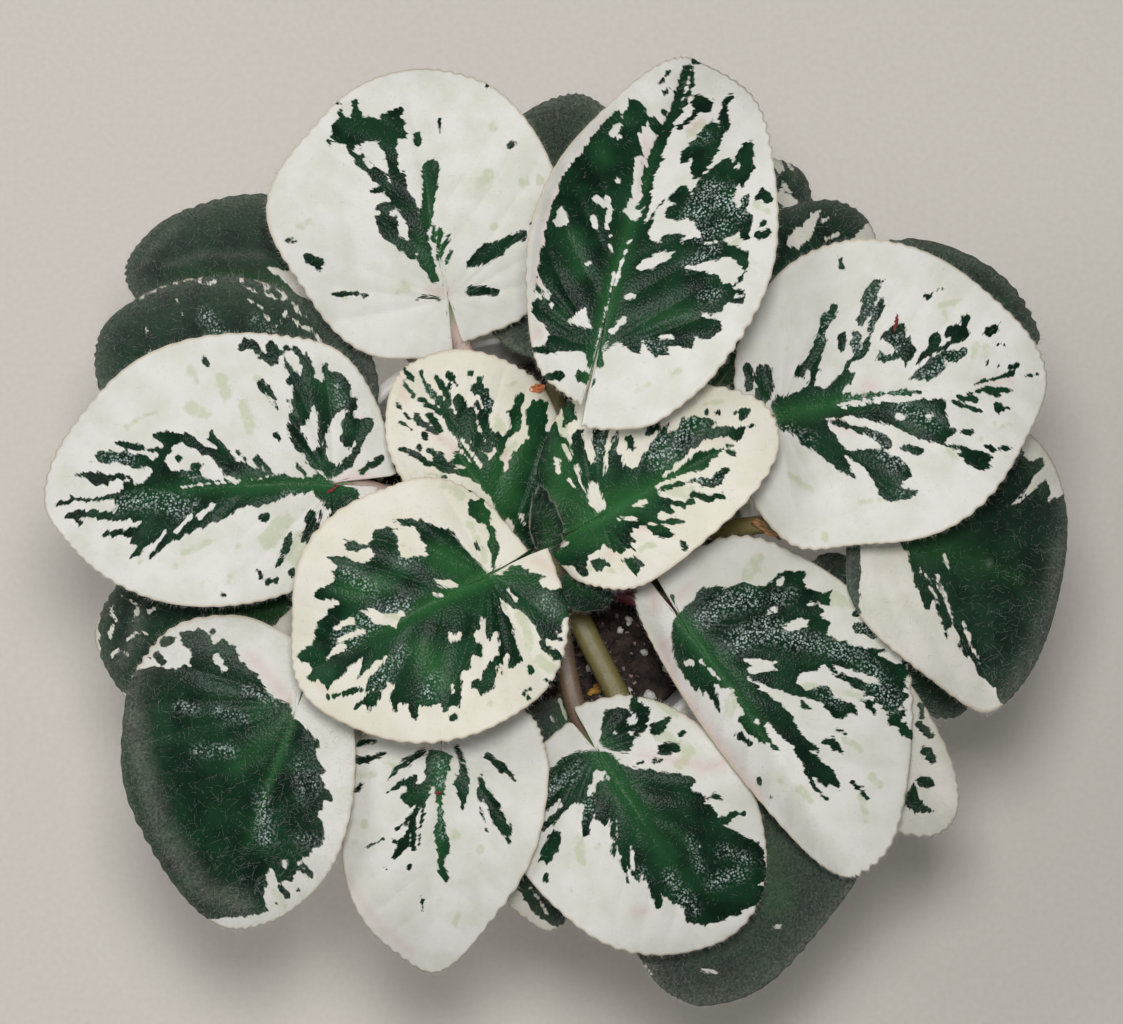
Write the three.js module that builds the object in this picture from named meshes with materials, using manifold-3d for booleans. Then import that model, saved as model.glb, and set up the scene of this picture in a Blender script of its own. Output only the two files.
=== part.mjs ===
// A potted African violet: a rosette of round, scalloped, variegated leaves on thick stalks that
// all grow from one short crown, in soil, in a round white plastic pot. Millimetres, +Z up. The
// origin is on the pot's axis, on the face that the pot stands on. +Y is away from the viewer.
import * as THREE from "three";
import { mergeVertices } from "three/addons/utils/BufferGeometryUtils.js";
import Module from "manifold-3d";

const wasm = await Module();
wasm.setup();

// Pot: a four-inch nursery pot with a rolled rim.
const POT_HEIGHT = 88;
const POT_RIM_RADIUS = 50;
const POT_FOOT_RADIUS = 34;
const POT_WALL = 2;
const RIM_WIDTH = 3.3;
const RIM_DEPTH = 9;
const RIM_ROUND = 1.6;
const POT_CORNER = 2;
const POT_SIDES = 36;
const DRAIN_HOLES = 6;
const DRAIN_RADIUS = 3.5;
const DRAIN_RING = 20;

// Soil: fills the pot to a finger's width below the rim.
const SOIL_TOP = 77;
const SOIL_ROUGHNESS = 1.1;
const SOIL_EDGE_DROP = 3;
const SOIL_RINGS = [0.97, 0.8, 0.62, 0.44, 0.26];

// The clearance between two pieces that touch.
const FIT_GAP = 0.3;

// Crown: the short thick stem that the leaf stalks grow from, a little off the pot's axis.
const CROWN_X = 5;
const CROWN_Y = -4;
const CROWN_FOOT = 60;
const CROWN_TOP = 103;
const CROWN_RADIUS = 7.4;
const CROWN_TOP_RADIUS = 4.6;
const CROWN_SIDES = 16;
const CROWN_SCARS = 5;
const SCAR_DEPTH = 0.5;

// Leaves: one blade and stalk each.
const BLADE_THICKNESS = 0.9;
const SCALLOP = 0.9;
const LARGE_RINGS = [0.5, 0.84, 1];
const OLD_RINGS = [0.62, 1];
const STALK_SIDES = 6;
const STALK_STEPS = 6;
const STALK_ROOT_DEPTH = 2;
const STALK_OUTWARD = 0.35;
const STALK_ARRIVAL = 0.25;
const KEEL_SINK = 0.2;
const KEEL_THINNING = 0.22;
const LARGE_OUTLINE = 28;
const OLD_OUTLINE = 24;
const YOUNG_OUTLINE = 16;
const NOTCH = 0.24;
const LOBE_FULLNESS = 0.85;

const UP = new THREE.Vector3(0, 0, 1);
const toRadians = THREE.MathUtils.degToRad;

// Colours.
const WHITE_PLASTIC = "#ecebe8";
const DARK_SOIL = "#2c2523";
const CROWN_GREEN = "#6a6a3e";
const PALE_LEAF = "#e2ded2";
const CREAM_LEAF = "#c9cfa9";
const GREEN_LEAF = "#27472f";

// What a leaf is like where its own entry doesn't say otherwise. base is where the stalk meets the
// blade and tip is the blade's far end. Pairs are for the left and the right half, seen from the
// stalk: half is the half width, widest the share of the length at which it lies, lobe how far the
// round lobe reaches back past the stalk, taper how much the half narrows to the tip, and lift how
// high its margin stands. arch bows the midrib up and bend bows it to the left. root is the height
// at which the stalk leaves the crown, turn swings that place round the crown in degrees, and dip
// is how far under the blade's line the stalk comes up to it.
const USUAL_LEAF = {
  half: [20, 20],
  widest: [0.35, 0.35],
  lobe: [10, 10],
  taper: [0.2, 0.2],
  lift: [0, 0],
  arch: 4,
  bend: 0,
  waves: 5,
  wave: 1,
  phase: 0,
  stalk: 2.2,
  turn: 0,
  dip: 5,
  outline: LARGE_OUTLINE,
  rings: LARGE_RINGS,
  colour: PALE_LEAF,
};

// An older leaf, under the others: its stalk lies lower and it needs fewer points.
const OLD_LEAF = {
  ...USUAL_LEAF,
  stalk: 2,
  dip: 1,
  outline: OLD_OUTLINE,
  rings: OLD_RINGS,
  colour: GREEN_LEAF,
};

// A young leaf, still unfolding at the crown's tip.
const YOUNG_LEAF = {
  ...USUAL_LEAF,
  lobe: [2, 2],
  lift: [2, 2],
  arch: 1,
  wave: 0.3,
  stalk: 1,
  dip: 2,
  outline: YOUNG_OUTLINE,
  rings: OLD_RINGS,
  colour: GREEN_LEAF,
};

const LEAVES = [
  // Centre.
  {
    ...USUAL_LEAF, name: "leaf_centre_east", base: [15, 4, 110], tip: [53, 24, 115],
    half: [24.5, 17.5], widest: [0.15, 0.08], lobe: [11, 13], lift: [-2, 1], arch: 2.5,
    root: 101, stalk: 2, colour: CREAM_LEAF,
  },
  {
    ...USUAL_LEAF, name: "leaf_centre_north", base: [-5, -1, 104], tip: [-26, 38, 108],
    half: [14, 23], widest: [0.55, 0.6], lobe: [3, 5], lift: [1, -4], arch: 2, root: 97,
    stalk: 2, turn: -10, colour: CREAM_LEAF,
  },
  {
    ...USUAL_LEAF, name: "leaf_centre_west", base: [-9, -9, 113], tip: [-50, -31, 110],
    half: [30, 27.5], widest: [0.25, 0.28], lobe: [14, 10], lift: [1, 2], root: 100, stalk: 2,
    turn: 10, colour: CREAM_LEAF,
  },
  // Ring of large leaves round the centre.
  {
    ...USUAL_LEAF, name: "leaf_north", base: [14.5, 38, 123], tip: [36, 105, 109.3],
    half: [20, 31], widest: [0.3, 0.4], lobe: [13, 17], taper: [0.4, 0.05], lift: [4, 2],
    arch: 6, bend: 2, root: 96, stalk: 2.2, turn: 6, dip: 27, colour: GREEN_LEAF,
  },
  {
    ...USUAL_LEAF, name: "leaf_north_west", base: [-18, 53, 103], tip: [-28, 103, 107],
    half: [34, 28.5], widest: [0.4, 0.35], lobe: [13, 10], taper: [0, 0], lift: [2, 1],
    root: 91,
  },
  {
    ...USUAL_LEAF, name: "leaf_east", base: [54, 27, 104.8], tip: [111, 36, 107],
    half: [34, 33], widest: [0.35, 0.3], lobe: [10, 12], lift: [2, 1], arch: 5, root: 95,
    turn: 4,
  },
  {
    ...USUAL_LEAF, name: "leaf_west", base: [-43, 12, 104], tip: [-106, 9, 99], half: [26, 34],
    widest: [0.35, 0.22], lobe: [10, 14], taper: [0.2, 0.1], lift: [1, 2], arch: 5, root: 93,
  },
  {
    ...USUAL_LEAF, name: "leaf_south_west", base: [-50, -36, 101.4], tip: [-67, -82, 87.6],
    half: [19, 34], widest: [0.5, 0.2], lobe: [9, 13], taper: [0, 0.2], lift: [2, 1], arch: 4,
    root: 95, turn: -6, dip: -2, colour: GREEN_LEAF,
  },
  {
    ...USUAL_LEAF, name: "leaf_south", base: [-19, -44, 100.2], tip: [-22, -92, 86],
    half: [23.5, 21.5], widest: [0.05, 0.35], lobe: [12, 9], taper: [0.25, 0.15],
    lift: [3, -4.5], arch: 5, root: 89.6, turn: 12,
  },
  {
    ...USUAL_LEAF, name: "leaf_south_east", base: [14, -45, 100], tip: [41, -86, 93],
    half: [23, 27.5], widest: [0.38, 0.32], lobe: [10, 8], taper: [-0.3, 0.15],
    lift: [-1.5, -4], root: 94.6, turn: -8,
  },
  {
    ...USUAL_LEAF, name: "leaf_east_south", base: [33, -18, 99], tip: [72, -73, 90],
    half: [36.5, 10], widest: [0.37, 0.3], lobe: [14, 14], taper: [0.35, 0.1], lift: [-4, 5],
    root: 94,
  },
  // Older leaves under them.
  {
    ...OLD_LEAF, name: "leaf_old_north_west", base: [-41, 54, 93], tip: [-91, 66, 84],
    half: [18, 20], root: 87,
  },
  {
    ...OLD_LEAF, name: "leaf_old_west", base: [-44, 28, 95], tip: [-97, 47, 88], half: [26, 24],
    root: 83,
  },
  {
    ...OLD_LEAF, name: "leaf_old_west_south", base: [-45, -12, 90.8], tip: [-97, -22, 81],
    half: [26, 22], lobe: [1, 8], lift: [-4.5, 0], root: 82,
  },
  {
    ...OLD_LEAF, name: "leaf_old_south_west", base: [-41, -21, 94], tip: [-64, -55, 84],
    half: [18, 16], root: 87, colour: PALE_LEAF,
  },
  {
    ...OLD_LEAF, name: "leaf_old_north", base: [6, 50, 94], tip: [10, 104, 86], half: [22, 20],
    root: 86,
  },
  {
    ...OLD_LEAF, name: "leaf_old_north_east", base: [33, 46, 91], tip: [59, 89, 79.5],
    half: [20, 17], root: 82.5, turn: 6, dip: -2,
  },
  {
    ...OLD_LEAF, name: "leaf_old_east_north", base: [44, 39, 95.2], tip: [74, 76, 86.8],
    half: [20, 18], lift: [0.5, -1], root: 86, turn: -6,
  },
  {
    ...OLD_LEAF, name: "leaf_old_east_high", base: [66, 32, 99.4], tip: [112, 46, 97.4],
    half: [26, 8], root: 90.6, turn: -4, dip: 0,
  },
  {
    ...OLD_LEAF, name: "leaf_old_east", base: [73, 3, 101], tip: [117, -9, 88], half: [32, 30],
    widest: [0.5, 0.7], lobe: [8, 4], taper: [0, 0], lift: [-2, 2], arch: 3, root: 84, turn: 8,
  },
  {
    ...OLD_LEAF, name: "leaf_old_east_south", base: [57, -21, 93], tip: [93, -61, 82],
    half: [13, 18], lift: [0, 2], root: 86, turn: -10, colour: PALE_LEAF,
  },
  {
    ...OLD_LEAF, name: "leaf_old_east_low", base: [66, -11, 90], tip: [97, -35, 79],
    half: [12, 12], root: 80.5, turn: -6, dip: -9,
  },
  {
    ...OLD_LEAF, name: "leaf_old_south_east", base: [28, -56, 94], tip: [37, -100, 78],
    half: [43, 14], lift: [-5, 0], root: 88, stalk: 2.6, dip: 0,
  },
  {
    ...OLD_LEAF, name: "leaf_old_south", base: [8, -43, 91], tip: [3, -84, 82], half: [11, 16],
    root: 82,
  },
  // Young leaves.
  {
    ...YOUNG_LEAF, name: "leaf_young_north", base: [4, -2, 108], tip: [2, 10, 114],
    half: [3.5, 3.5], root: 102,
  },
  {
    ...YOUNG_LEAF, name: "leaf_young_south_east", base: [9, -8, 103], tip: [17, -14, 103],
    half: [6, 6], root: 101,
  },
];

function smoothStep(value) {
  const t = THREE.MathUtils.clamp(value, 0, 1);
  return t * t * (3 - 2 * t);
}

// A closed three.js geometry as a solid that can be joined and cut.
function toSolid(geometry) {
  const bare = geometry.clone();
  bare.deleteAttribute("normal");
  bare.deleteAttribute("uv");
  const merged = mergeVertices(bare, 1e-4);
  return new wasm.Manifold(new wasm.Mesh({
    numProp: 3,
    vertProperties: new Float32Array(merged.attributes.position.array),
    triVerts: new Uint32Array(merged.index.array),
  }));
}

function toGeometry(solid) {
  const { numProp, vertProperties, triVerts } = solid.getMesh();
  const geometry = new THREE.BufferGeometry();
  const places = [];
  for (let i = 0; i < vertProperties.length; i += numProp) {
    places.push(vertProperties[i], vertProperties[i + 1], vertProperties[i + 2]);
  }
  geometry.setAttribute("position", new THREE.Float32BufferAttribute(places, 3));
  geometry.setIndex(Array.from(triVerts));
  geometry.computeVertexNormals();
  return geometry;
}

function makeMesh(name, geometry, colour, roughness) {
  const material = new THREE.MeshStandardMaterial({ color: colour, roughness, metalness: 0 });
  const mesh = new THREE.Mesh(geometry, material);
  mesh.name = name;
  return mesh;
}

// Turns a profile of [radius, height] pairs about +Z.
function turned(profile, sides) {
  const points = profile.map(([radius, height]) => new THREE.Vector2(radius, height));
  return new THREE.LatheGeometry(points, sides).rotateX(Math.PI / 2);
}

function uprightCylinder(radius, bottom, top, sides) {
  return new THREE.CylinderGeometry(radius, radius, top - bottom, sides)
    .rotateX(Math.PI / 2)
    .translate(0, 0, (top + bottom) / 2);
}

// --- Pot -------------------------------------------------------------------------------------

const wallTopRadius = POT_RIM_RADIUS - RIM_WIDTH;
const rimBottom = POT_HEIGHT - RIM_DEPTH;

// The inner face of the pot's wall at a height.
function potInnerRadius(height) {
  const share = (height - POT_WALL) / (POT_HEIGHT - POT_WALL);
  return THREE.MathUtils.lerp(POT_FOOT_RADIUS - POT_WALL, wallTopRadius, share);
}

function buildPot() {
  const outerUnderRim = potInnerRadius(rimBottom) + POT_WALL;
  const body = turned([
    [0, 0],
    [POT_FOOT_RADIUS - 1, 0],
    [POT_FOOT_RADIUS, 1],
    [outerUnderRim, rimBottom],
    [POT_RIM_RADIUS - RIM_ROUND, rimBottom + 0.4],
    [POT_RIM_RADIUS - 0.6, rimBottom + RIM_ROUND],
    [POT_RIM_RADIUS, POT_HEIGHT - RIM_ROUND],
    [POT_RIM_RADIUS - 0.7, POT_HEIGHT - 0.4],
    [POT_RIM_RADIUS - RIM_ROUND, POT_HEIGHT],
    [wallTopRadius + 0.7, POT_HEIGHT - 0.2],
    [potInnerRadius(POT_HEIGHT - 1.2), POT_HEIGHT - 1.2],
    [potInnerRadius(POT_WALL + POT_CORNER), POT_WALL + POT_CORNER],
    [potInnerRadius(POT_WALL) - POT_CORNER, POT_WALL],
    [0, POT_WALL],
  ], POT_SIDES);
  let pot = toSolid(body);
  for (let i = 0; i < DRAIN_HOLES; i += 1) {
    const angle = (2 * Math.PI * i) / DRAIN_HOLES;
    const drill = uprightCylinder(DRAIN_RADIUS, -1, POT_WALL + 1, 12)
      .translate(DRAIN_RING * Math.cos(angle), DRAIN_RING * Math.sin(angle), 0);
    pot = pot.subtract(toSolid(drill));
  }
  return toGeometry(pot);
}

// --- Crown -----------------------------------------------------------------------------------

// The crown narrows upwards to a blunt tip. extra grows it all round, for the room about it.
function crownProfile(extra) {
  const profile = [[0, CROWN_FOOT - extra]];
  profile.push([CROWN_RADIUS - 1.5 + extra, CROWN_FOOT - extra]);
  for (let i = 0; i <= CROWN_SCARS * 2; i += 1) {
    const share = i / (CROWN_SCARS * 2);
    const scar = i % 2 === 0 || extra > 0 ? 0 : SCAR_DEPTH;
    const height = THREE.MathUtils.lerp(CROWN_FOOT + 4, CROWN_TOP - 4, share);
    const radius = THREE.MathUtils.lerp(CROWN_RADIUS, CROWN_TOP_RADIUS, share * share);
    profile.push([radius - scar + extra, height]);
  }
  profile.push([CROWN_TOP_RADIUS * 0.75 + extra, CROWN_TOP - 1.5 + extra]);
  profile.push([CROWN_TOP_RADIUS * 0.35 + extra, CROWN_TOP - 0.2 + extra]);
  profile.push([0, CROWN_TOP + extra]);
  return profile;
}

function buildCrown(extra) {
  return turned(crownProfile(extra), CROWN_SIDES).translate(CROWN_X, CROWN_Y, 0);
}

const crownRoom = toSolid(buildCrown(FIT_GAP));

// --- Soil ------------------------------------------------------------------------------------

function soilHeight(x, y) {
  const grain = Math.sin(x * 0.31 + 1.3) * Math.cos(y * 0.27 - 0.6);
  const lump = Math.sin(x * 0.11 - y * 0.16 + 0.8);
  return SOIL_TOP + SOIL_ROUGHNESS * (0.6 * grain + 0.4 * lump);
}

function buildSoil() {
  const bottom = POT_WALL + FIT_GAP;
  const corner = POT_CORNER + FIT_GAP;
  const edge = potInnerRadius(SOIL_TOP - SOIL_EDGE_DROP) - FIT_GAP;
  const profile = [[0, bottom], [potInnerRadius(bottom) - corner, bottom]];
  profile.push([potInnerRadius(bottom + corner) - FIT_GAP, bottom + corner]);
  profile.push([edge, SOIL_TOP - SOIL_EDGE_DROP]);
  for (const share of SOIL_RINGS) {
    profile.push([edge * share, SOIL_TOP]);
  }
  profile.push([0, SOIL_TOP]);
  const body = turned(profile, POT_SIDES);
  const place = body.attributes.position;
  for (let i = 0; i < place.count; i += 1) {
    if (place.getZ(i) > SOIL_TOP - 0.5) {
      place.setZ(i, soilHeight(place.getX(i), place.getY(i)));
    }
  }
  return toGeometry(toSolid(body).subtract(crownRoom));
}

// --- Leaves ----------------------------------------------------------------------------------

// The blade's own directions: along the midrib, to the left of it and out of its upper face.
function bladeFrame(leaf) {
  const base = new THREE.Vector3(...leaf.base);
  const along = new THREE.Vector3(...leaf.tip).sub(base);
  const length = along.length();
  along.normalize();
  const left = UP.clone().cross(along).normalize();
  const out = along.clone().cross(left);
  return { base, along, left, out, length };
}

// The outline, as [along, across], at an angle round it from the tip by the left side. The tip
// side is an ellipse that tapers, and the stalk side has two round lobes with a notch between.
function outlinePoint(leaf, length, angle) {
  const toTip = Math.cos(angle);
  const sideways = Math.sin(angle);
  const side = sideways >= 0 ? 0 : 1;
  const middle = leaf.widest[side] * length;
  if (toTip >= 0) {
    const taper = 1 - leaf.taper[side] * toTip * toTip;
    return [middle + (length - middle) * toTip, leaf.half[side] * sideways * taper];
  }
  const lobe = leaf.lobe[side];
  const notch = lobe * smoothStep(1 - Math.acos(-toTip) / NOTCH);
  const fullness = Math.pow(Math.abs(sideways), LOBE_FULLNESS);
  return [
    middle + (middle + lobe) * toTip + notch,
    leaf.half[side] * Math.sign(sideways) * fullness,
  ];
}

// A place on the blade's middle surface. reach runs from 0 in the middle to 1 at the margin.
function bladePoint(leaf, frame, angle, reach) {
  const { base, along, left, out, length } = frame;
  const middle = ((leaf.widest[0] + leaf.widest[1]) / 2) * length;
  const [edgeAlong, edgeAcross] = outlinePoint(leaf, length, angle);
  const forward = middle + (edgeAlong - middle) * reach;
  const sideways = edgeAcross * reach;
  const share = forward / length;
  const bow = share > 0 ? 4 * share * (1 - share) : 2 * share;
  const side = sideways >= 0 ? 0 : 1;
  const ripple = leaf.wave * Math.pow(reach, 3) * Math.sin(leaf.waves * angle + leaf.phase);
  const height = leaf.arch * bow + leaf.lift[side] * Math.pow(sideways / leaf.half[side], 2) + ripple;
  return base.clone()
    .addScaledVector(along, forward)
    .addScaledVector(left, sideways + leaf.bend * bow)
    .addScaledVector(out, height);
}

// The blade: one net of points, thickened alike to both sides, with small scallops at the margin.
function bladeGeometry(leaf, frame) {
  const steps = leaf.outline;
  const net = [bladePoint(leaf, frame, 0, 0)];
  for (const ring of leaf.rings) {
    for (let i = 0; i < steps; i += 1) {
      const angle = (2 * Math.PI * i) / steps;
      const cut = ring === 1 && i % 2 === 1 ? SCALLOP / leaf.half[0] : 0;
      net.push(bladePoint(leaf, frame, angle, ring - cut));
    }
  }
  const faces = [];
  const at = (ring, i) => 1 + ring * steps + (i % steps);
  for (let i = 0; i < steps; i += 1) {
    faces.push([0, at(0, i), at(0, i + 1)]);
    for (let ring = 1; ring < leaf.rings.length; ring += 1) {
      faces.push([at(ring - 1, i), at(ring, i), at(ring, i + 1)]);
      faces.push([at(ring - 1, i), at(ring, i + 1), at(ring - 1, i + 1)]);
    }
  }
  const sheet = new THREE.BufferGeometry().setFromPoints(net);
  sheet.setIndex(faces.flat());
  sheet.computeVertexNormals();
  const normal = new THREE.Vector3();
  const half = BLADE_THICKNESS / 2;
  const offset = (distance) => net.map((point, i) => {
    normal.fromBufferAttribute(sheet.attributes.normal, i);
    return point.clone().addScaledVector(normal, distance);
  });
  const count = net.length;
  const all = [...offset(half), ...offset(-half)];
  const closed = faces.map((face) => [...face]);
  for (const [a, b, c] of faces) {
    closed.push([a + count, c + count, b + count]);
  }
  const last = leaf.rings.length - 1;
  for (let i = 0; i < steps; i += 1) {
    const here = at(last, i);
    const next = at(last, i + 1);
    closed.push([here, here + count, next + count]);
    closed.push([here, next + count, next]);
  }
  const geometry = new THREE.BufferGeometry().setFromPoints(all);
  geometry.setIndex(closed.flat());
  return geometry;
}

// A closed tube through points, with a radius at each.
function tubeGeometry(points, radii, across) {
  const all = [];
  points.forEach((point, i) => {
    const before = points[Math.max(i - 1, 0)];
    const after = points[Math.min(i + 1, points.length - 1)];
    const heading = after.clone().sub(before).normalize();
    const side = across.clone().addScaledVector(heading, -across.dot(heading)).normalize();
    const top = side.clone().cross(heading);
    for (let k = 0; k < STALK_SIDES; k += 1) {
      const angle = (2 * Math.PI * k) / STALK_SIDES;
      all.push(point.clone()
        .addScaledVector(side, radii[i] * Math.cos(angle))
        .addScaledVector(top, radii[i] * Math.sin(angle)));
    }
  });
  const faces = [];
  const at = (i, k) => i * STALK_SIDES + (k % STALK_SIDES);
  for (let i = 0; i + 1 < points.length; i += 1) {
    for (let k = 0; k < STALK_SIDES; k += 1) {
      faces.push([at(i, k), at(i + 1, k + 1), at(i, k + 1)]);
      faces.push([at(i, k), at(i + 1, k), at(i + 1, k + 1)]);
    }
  }
  const end = points.length - 1;
  for (let k = 1; k + 1 < STALK_SIDES; k += 1) {
    faces.push([at(0, 0), at(0, k), at(0, k + 1)]);
    faces.push([at(end, 0), at(end, k + 1), at(end, k)]);
  }
  const geometry = new THREE.BufferGeometry().setFromPoints(all);
  geometry.setIndex(faces.flat());
  return geometry;
}

// The stalk curves out and up from the crown to the blade, and runs on under the midrib as a keel
// that thins to nothing by the blade's middle.
function stalkGeometry(leaf, frame) {
  const keel = [...leaf.rings].reverse().map((reach) => {
    const depth = KEEL_SINK + leaf.stalk * (0.18 + KEEL_THINNING * reach);
    return bladePoint(leaf, frame, Math.PI, reach).addScaledVector(frame.out, -depth);
  });
  const joint = keel[0];
  const bearing = Math.atan2(joint.y - CROWN_Y, joint.x - CROWN_X) + toRadians(leaf.turn);
  const outward = new THREE.Vector3(Math.cos(bearing), Math.sin(bearing), 0);
  const start = new THREE.Vector3(CROWN_X, CROWN_Y, leaf.root)
    .addScaledVector(outward, CROWN_TOP_RADIUS - STALK_ROOT_DEPTH);
  const span = joint.distanceTo(start);
  const flat = frame.along.clone().setZ(0).normalize();
  const leave = start.clone().addScaledVector(outward, span * STALK_OUTWARD);
  const arrive = joint.clone().addScaledVector(flat, -span * STALK_ARRIVAL);
  arrive.z -= leaf.dip;
  const curve = new THREE.CubicBezierCurve3(start, leave, arrive, joint);
  const points = [...curve.getPoints(STALK_STEPS).slice(0, -1), ...keel];
  const radii = points.map((_, i) => {
    const share = i / STALK_STEPS;
    return share < 1 ? leaf.stalk : leaf.stalk * (1 - KEEL_THINNING * (i - STALK_STEPS));
  });
  return tubeGeometry(points, radii, outward.clone().cross(UP));
}

function buildLeaf(leaf) {
  const frame = bladeFrame(leaf);
  const blade = toSolid(bladeGeometry(leaf, frame));
  const stalk = toSolid(stalkGeometry(leaf, frame));
  return toGeometry(blade.add(stalk).subtract(crownRoom));
}

// --- The whole plant -------------------------------------------------------------------------

const violet = new THREE.Group();
violet.add(makeMesh("pot", buildPot(), WHITE_PLASTIC, 0.35));
violet.add(makeMesh("soil", buildSoil(), DARK_SOIL, 0.95));
violet.add(makeMesh("crown", buildCrown(0), CROWN_GREEN, 0.6));
for (const leaf of LEAVES) {
  violet.add(makeMesh(leaf.name, buildLeaf(leaf), leaf.colour, 0.5));
}

export default violet;
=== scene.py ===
import math

import bmesh
import bpy
import numpy as np
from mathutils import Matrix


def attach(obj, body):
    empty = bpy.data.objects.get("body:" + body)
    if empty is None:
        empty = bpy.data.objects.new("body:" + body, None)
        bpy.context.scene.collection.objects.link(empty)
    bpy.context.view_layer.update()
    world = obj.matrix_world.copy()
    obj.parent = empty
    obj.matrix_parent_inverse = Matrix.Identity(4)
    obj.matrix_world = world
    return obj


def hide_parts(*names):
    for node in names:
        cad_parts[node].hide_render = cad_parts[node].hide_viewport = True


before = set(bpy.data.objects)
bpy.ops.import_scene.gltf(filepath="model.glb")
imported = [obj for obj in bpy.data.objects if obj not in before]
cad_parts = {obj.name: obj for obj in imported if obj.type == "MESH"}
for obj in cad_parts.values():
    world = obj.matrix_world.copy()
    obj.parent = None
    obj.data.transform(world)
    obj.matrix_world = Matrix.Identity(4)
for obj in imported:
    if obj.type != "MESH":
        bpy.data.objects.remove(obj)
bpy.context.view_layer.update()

# --- Camera --------------------------------------------------------------------------------------
# The plant is seen almost straight down, from 0.7 m, with a long lens. Lengths are in millimetres
# here and in every section below, and MM turns them to metres.
MM = 0.001
PHOTO_WIDTH = 1123
PHOTO_HEIGHT = 1024
CAMERA_ELEVATION = math.radians(82)
CAMERA_DISTANCE = 700
CAMERA_AIM = np.array([6.7, 8.1, 88])
PIXEL_AT_AIM = 0.2212
SENSOR_WIDTH = 36

view_ahead = np.array([0, math.cos(CAMERA_ELEVATION), -math.sin(CAMERA_ELEVATION)])
view_up = np.array([0, math.sin(CAMERA_ELEVATION), math.cos(CAMERA_ELEVATION)])
camera_place = CAMERA_AIM - CAMERA_DISTANCE * view_ahead
focal_pixels = CAMERA_DISTANCE / PIXEL_AT_AIM

camera_data = bpy.data.cameras.new("camera")
camera_data.sensor_width = SENSOR_WIDTH
camera_data.lens = focal_pixels / PHOTO_WIDTH * SENSOR_WIDTH
camera = bpy.data.objects.new("camera", camera_data)
camera.location = camera_place * MM
camera.rotation_euler = (math.pi / 2 - CAMERA_ELEVATION, 0, 0)
bpy.context.scene.collection.objects.link(camera)
bpy.context.scene.camera = camera


def photo_place(points):
    """Where points (mm) show in the photo's own pixels, so that markings can be given there."""
    away = points - camera_place
    depth = away @ view_ahead
    across = PHOTO_WIDTH / 2 + focal_pixels * away[:, 0] / depth
    down = PHOTO_HEIGHT / 2 - focal_pixels * (away @ view_up) / depth
    return np.stack([across, down], 1)


# --- Floor and light -----------------------------------------------------------------------------
# A plain pale floor, one broad soft lamp a little behind the lens, and an even pale surround.
FLOOR_SIZE = 3000
FLOOR_GRAIN = 1.5
LAMP_AIM = (0, 0, 90)
SURROUND_STRENGTH = 0.26


def linear(hex_colour):
    """An sRGB hex colour as linear red, green, blue and alpha."""
    parts = [int(hex_colour[i:i + 2], 16) / 255 for i in (1, 3, 5)]
    return tuple(p / 12.92 if p <= 0.04045 else ((p + 0.055) / 1.055) ** 2.4 for p in parts) + (1,)


def feed(tree, node, inputs):
    """Gives a node's inputs their values, or the sockets that feed them."""
    for socket, value in inputs.items():
        if isinstance(value, bpy.types.NodeSocket):
            tree.links.new(value, node.inputs[socket])
        else:
            node.inputs[socket].default_value = value


def add(tree, kind, inputs=None, out=None, **settings):
    """Adds a node with its settings, feeds it, and returns the output named, or else the first."""
    node = tree.nodes.new("ShaderNode" + kind)
    for name, value in settings.items():
        setattr(node, name, value)
    feed(tree, node, inputs or {})
    if out:
        return node.outputs[out]
    return next(socket for socket in node.outputs if socket.enabled)


def new_material(name):
    """A new material, its node tree and its shader."""
    material = bpy.data.materials.new(name)
    material.use_nodes = True
    return material, material.node_tree, material.node_tree.nodes["Principled BSDF"]


def new_piece(name, points, faces, materials, face_materials=None, smooth=True):
    """A mesh object from points in mm. face_materials gives the material of each face."""
    mesh = bpy.data.meshes.new(name)
    mesh.from_pydata((np.asarray(points) * MM).tolist(), [], faces)
    for material in materials:
        mesh.materials.append(material)
    if face_materials is not None:
        mesh.polygons.foreach_set("material_index", face_materials)
    mesh.polygons.foreach_set("use_smooth", [smooth] * len(mesh.polygons))
    mesh.update()
    piece = bpy.data.objects.new(name, mesh)
    bpy.context.scene.collection.objects.link(piece)
    return piece


def floor_paint():
    """Matt emulsion on board: a faint roller grain and no gloss."""
    material, tree, shader = new_material("matt_painted_board")
    place = add(tree, "TexCoord", out="Object")
    grain = add(tree, "TexNoise", {"Vector": place, "Scale": 1 / (FLOOR_GRAIN * MM), "Detail": 2})
    tone = add(tree, "Mix", {0: grain, 6: linear("#DDD6CC"), 7: linear("#E8E2D9")},
               data_type="RGBA")
    feed(tree, shader, {"Base Color": tone, "Roughness": 0.8})
    return material


half_floor = FLOOR_SIZE / 2
floor = new_piece("floor", [(-half_floor, -half_floor, 0), (half_floor, -half_floor, 0),
                            (half_floor, half_floor, 0), (-half_floor, half_floor, 0)],
                  [(0, 1, 2, 3)], [floor_paint()])


def add_lamp(name, place, size, power):
    """A square soft lamp that faces the plant."""
    data = bpy.data.lights.new(name, "AREA")
    data.size = size * MM
    data.energy = power
    lamp = bpy.data.objects.new(name, data)
    lamp.location = np.array(place) * MM
    aim = bpy.data.objects.new(name + "_aim", None)
    aim.location = np.array(LAMP_AIM) * MM
    for thing in (lamp, aim):
        bpy.context.scene.collection.objects.link(thing)
    follow = lamp.constraints.new("TRACK_TO")
    follow.target = aim
    follow.track_axis = "TRACK_NEGATIVE_Z"
    follow.up_axis = "UP_Y"


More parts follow.
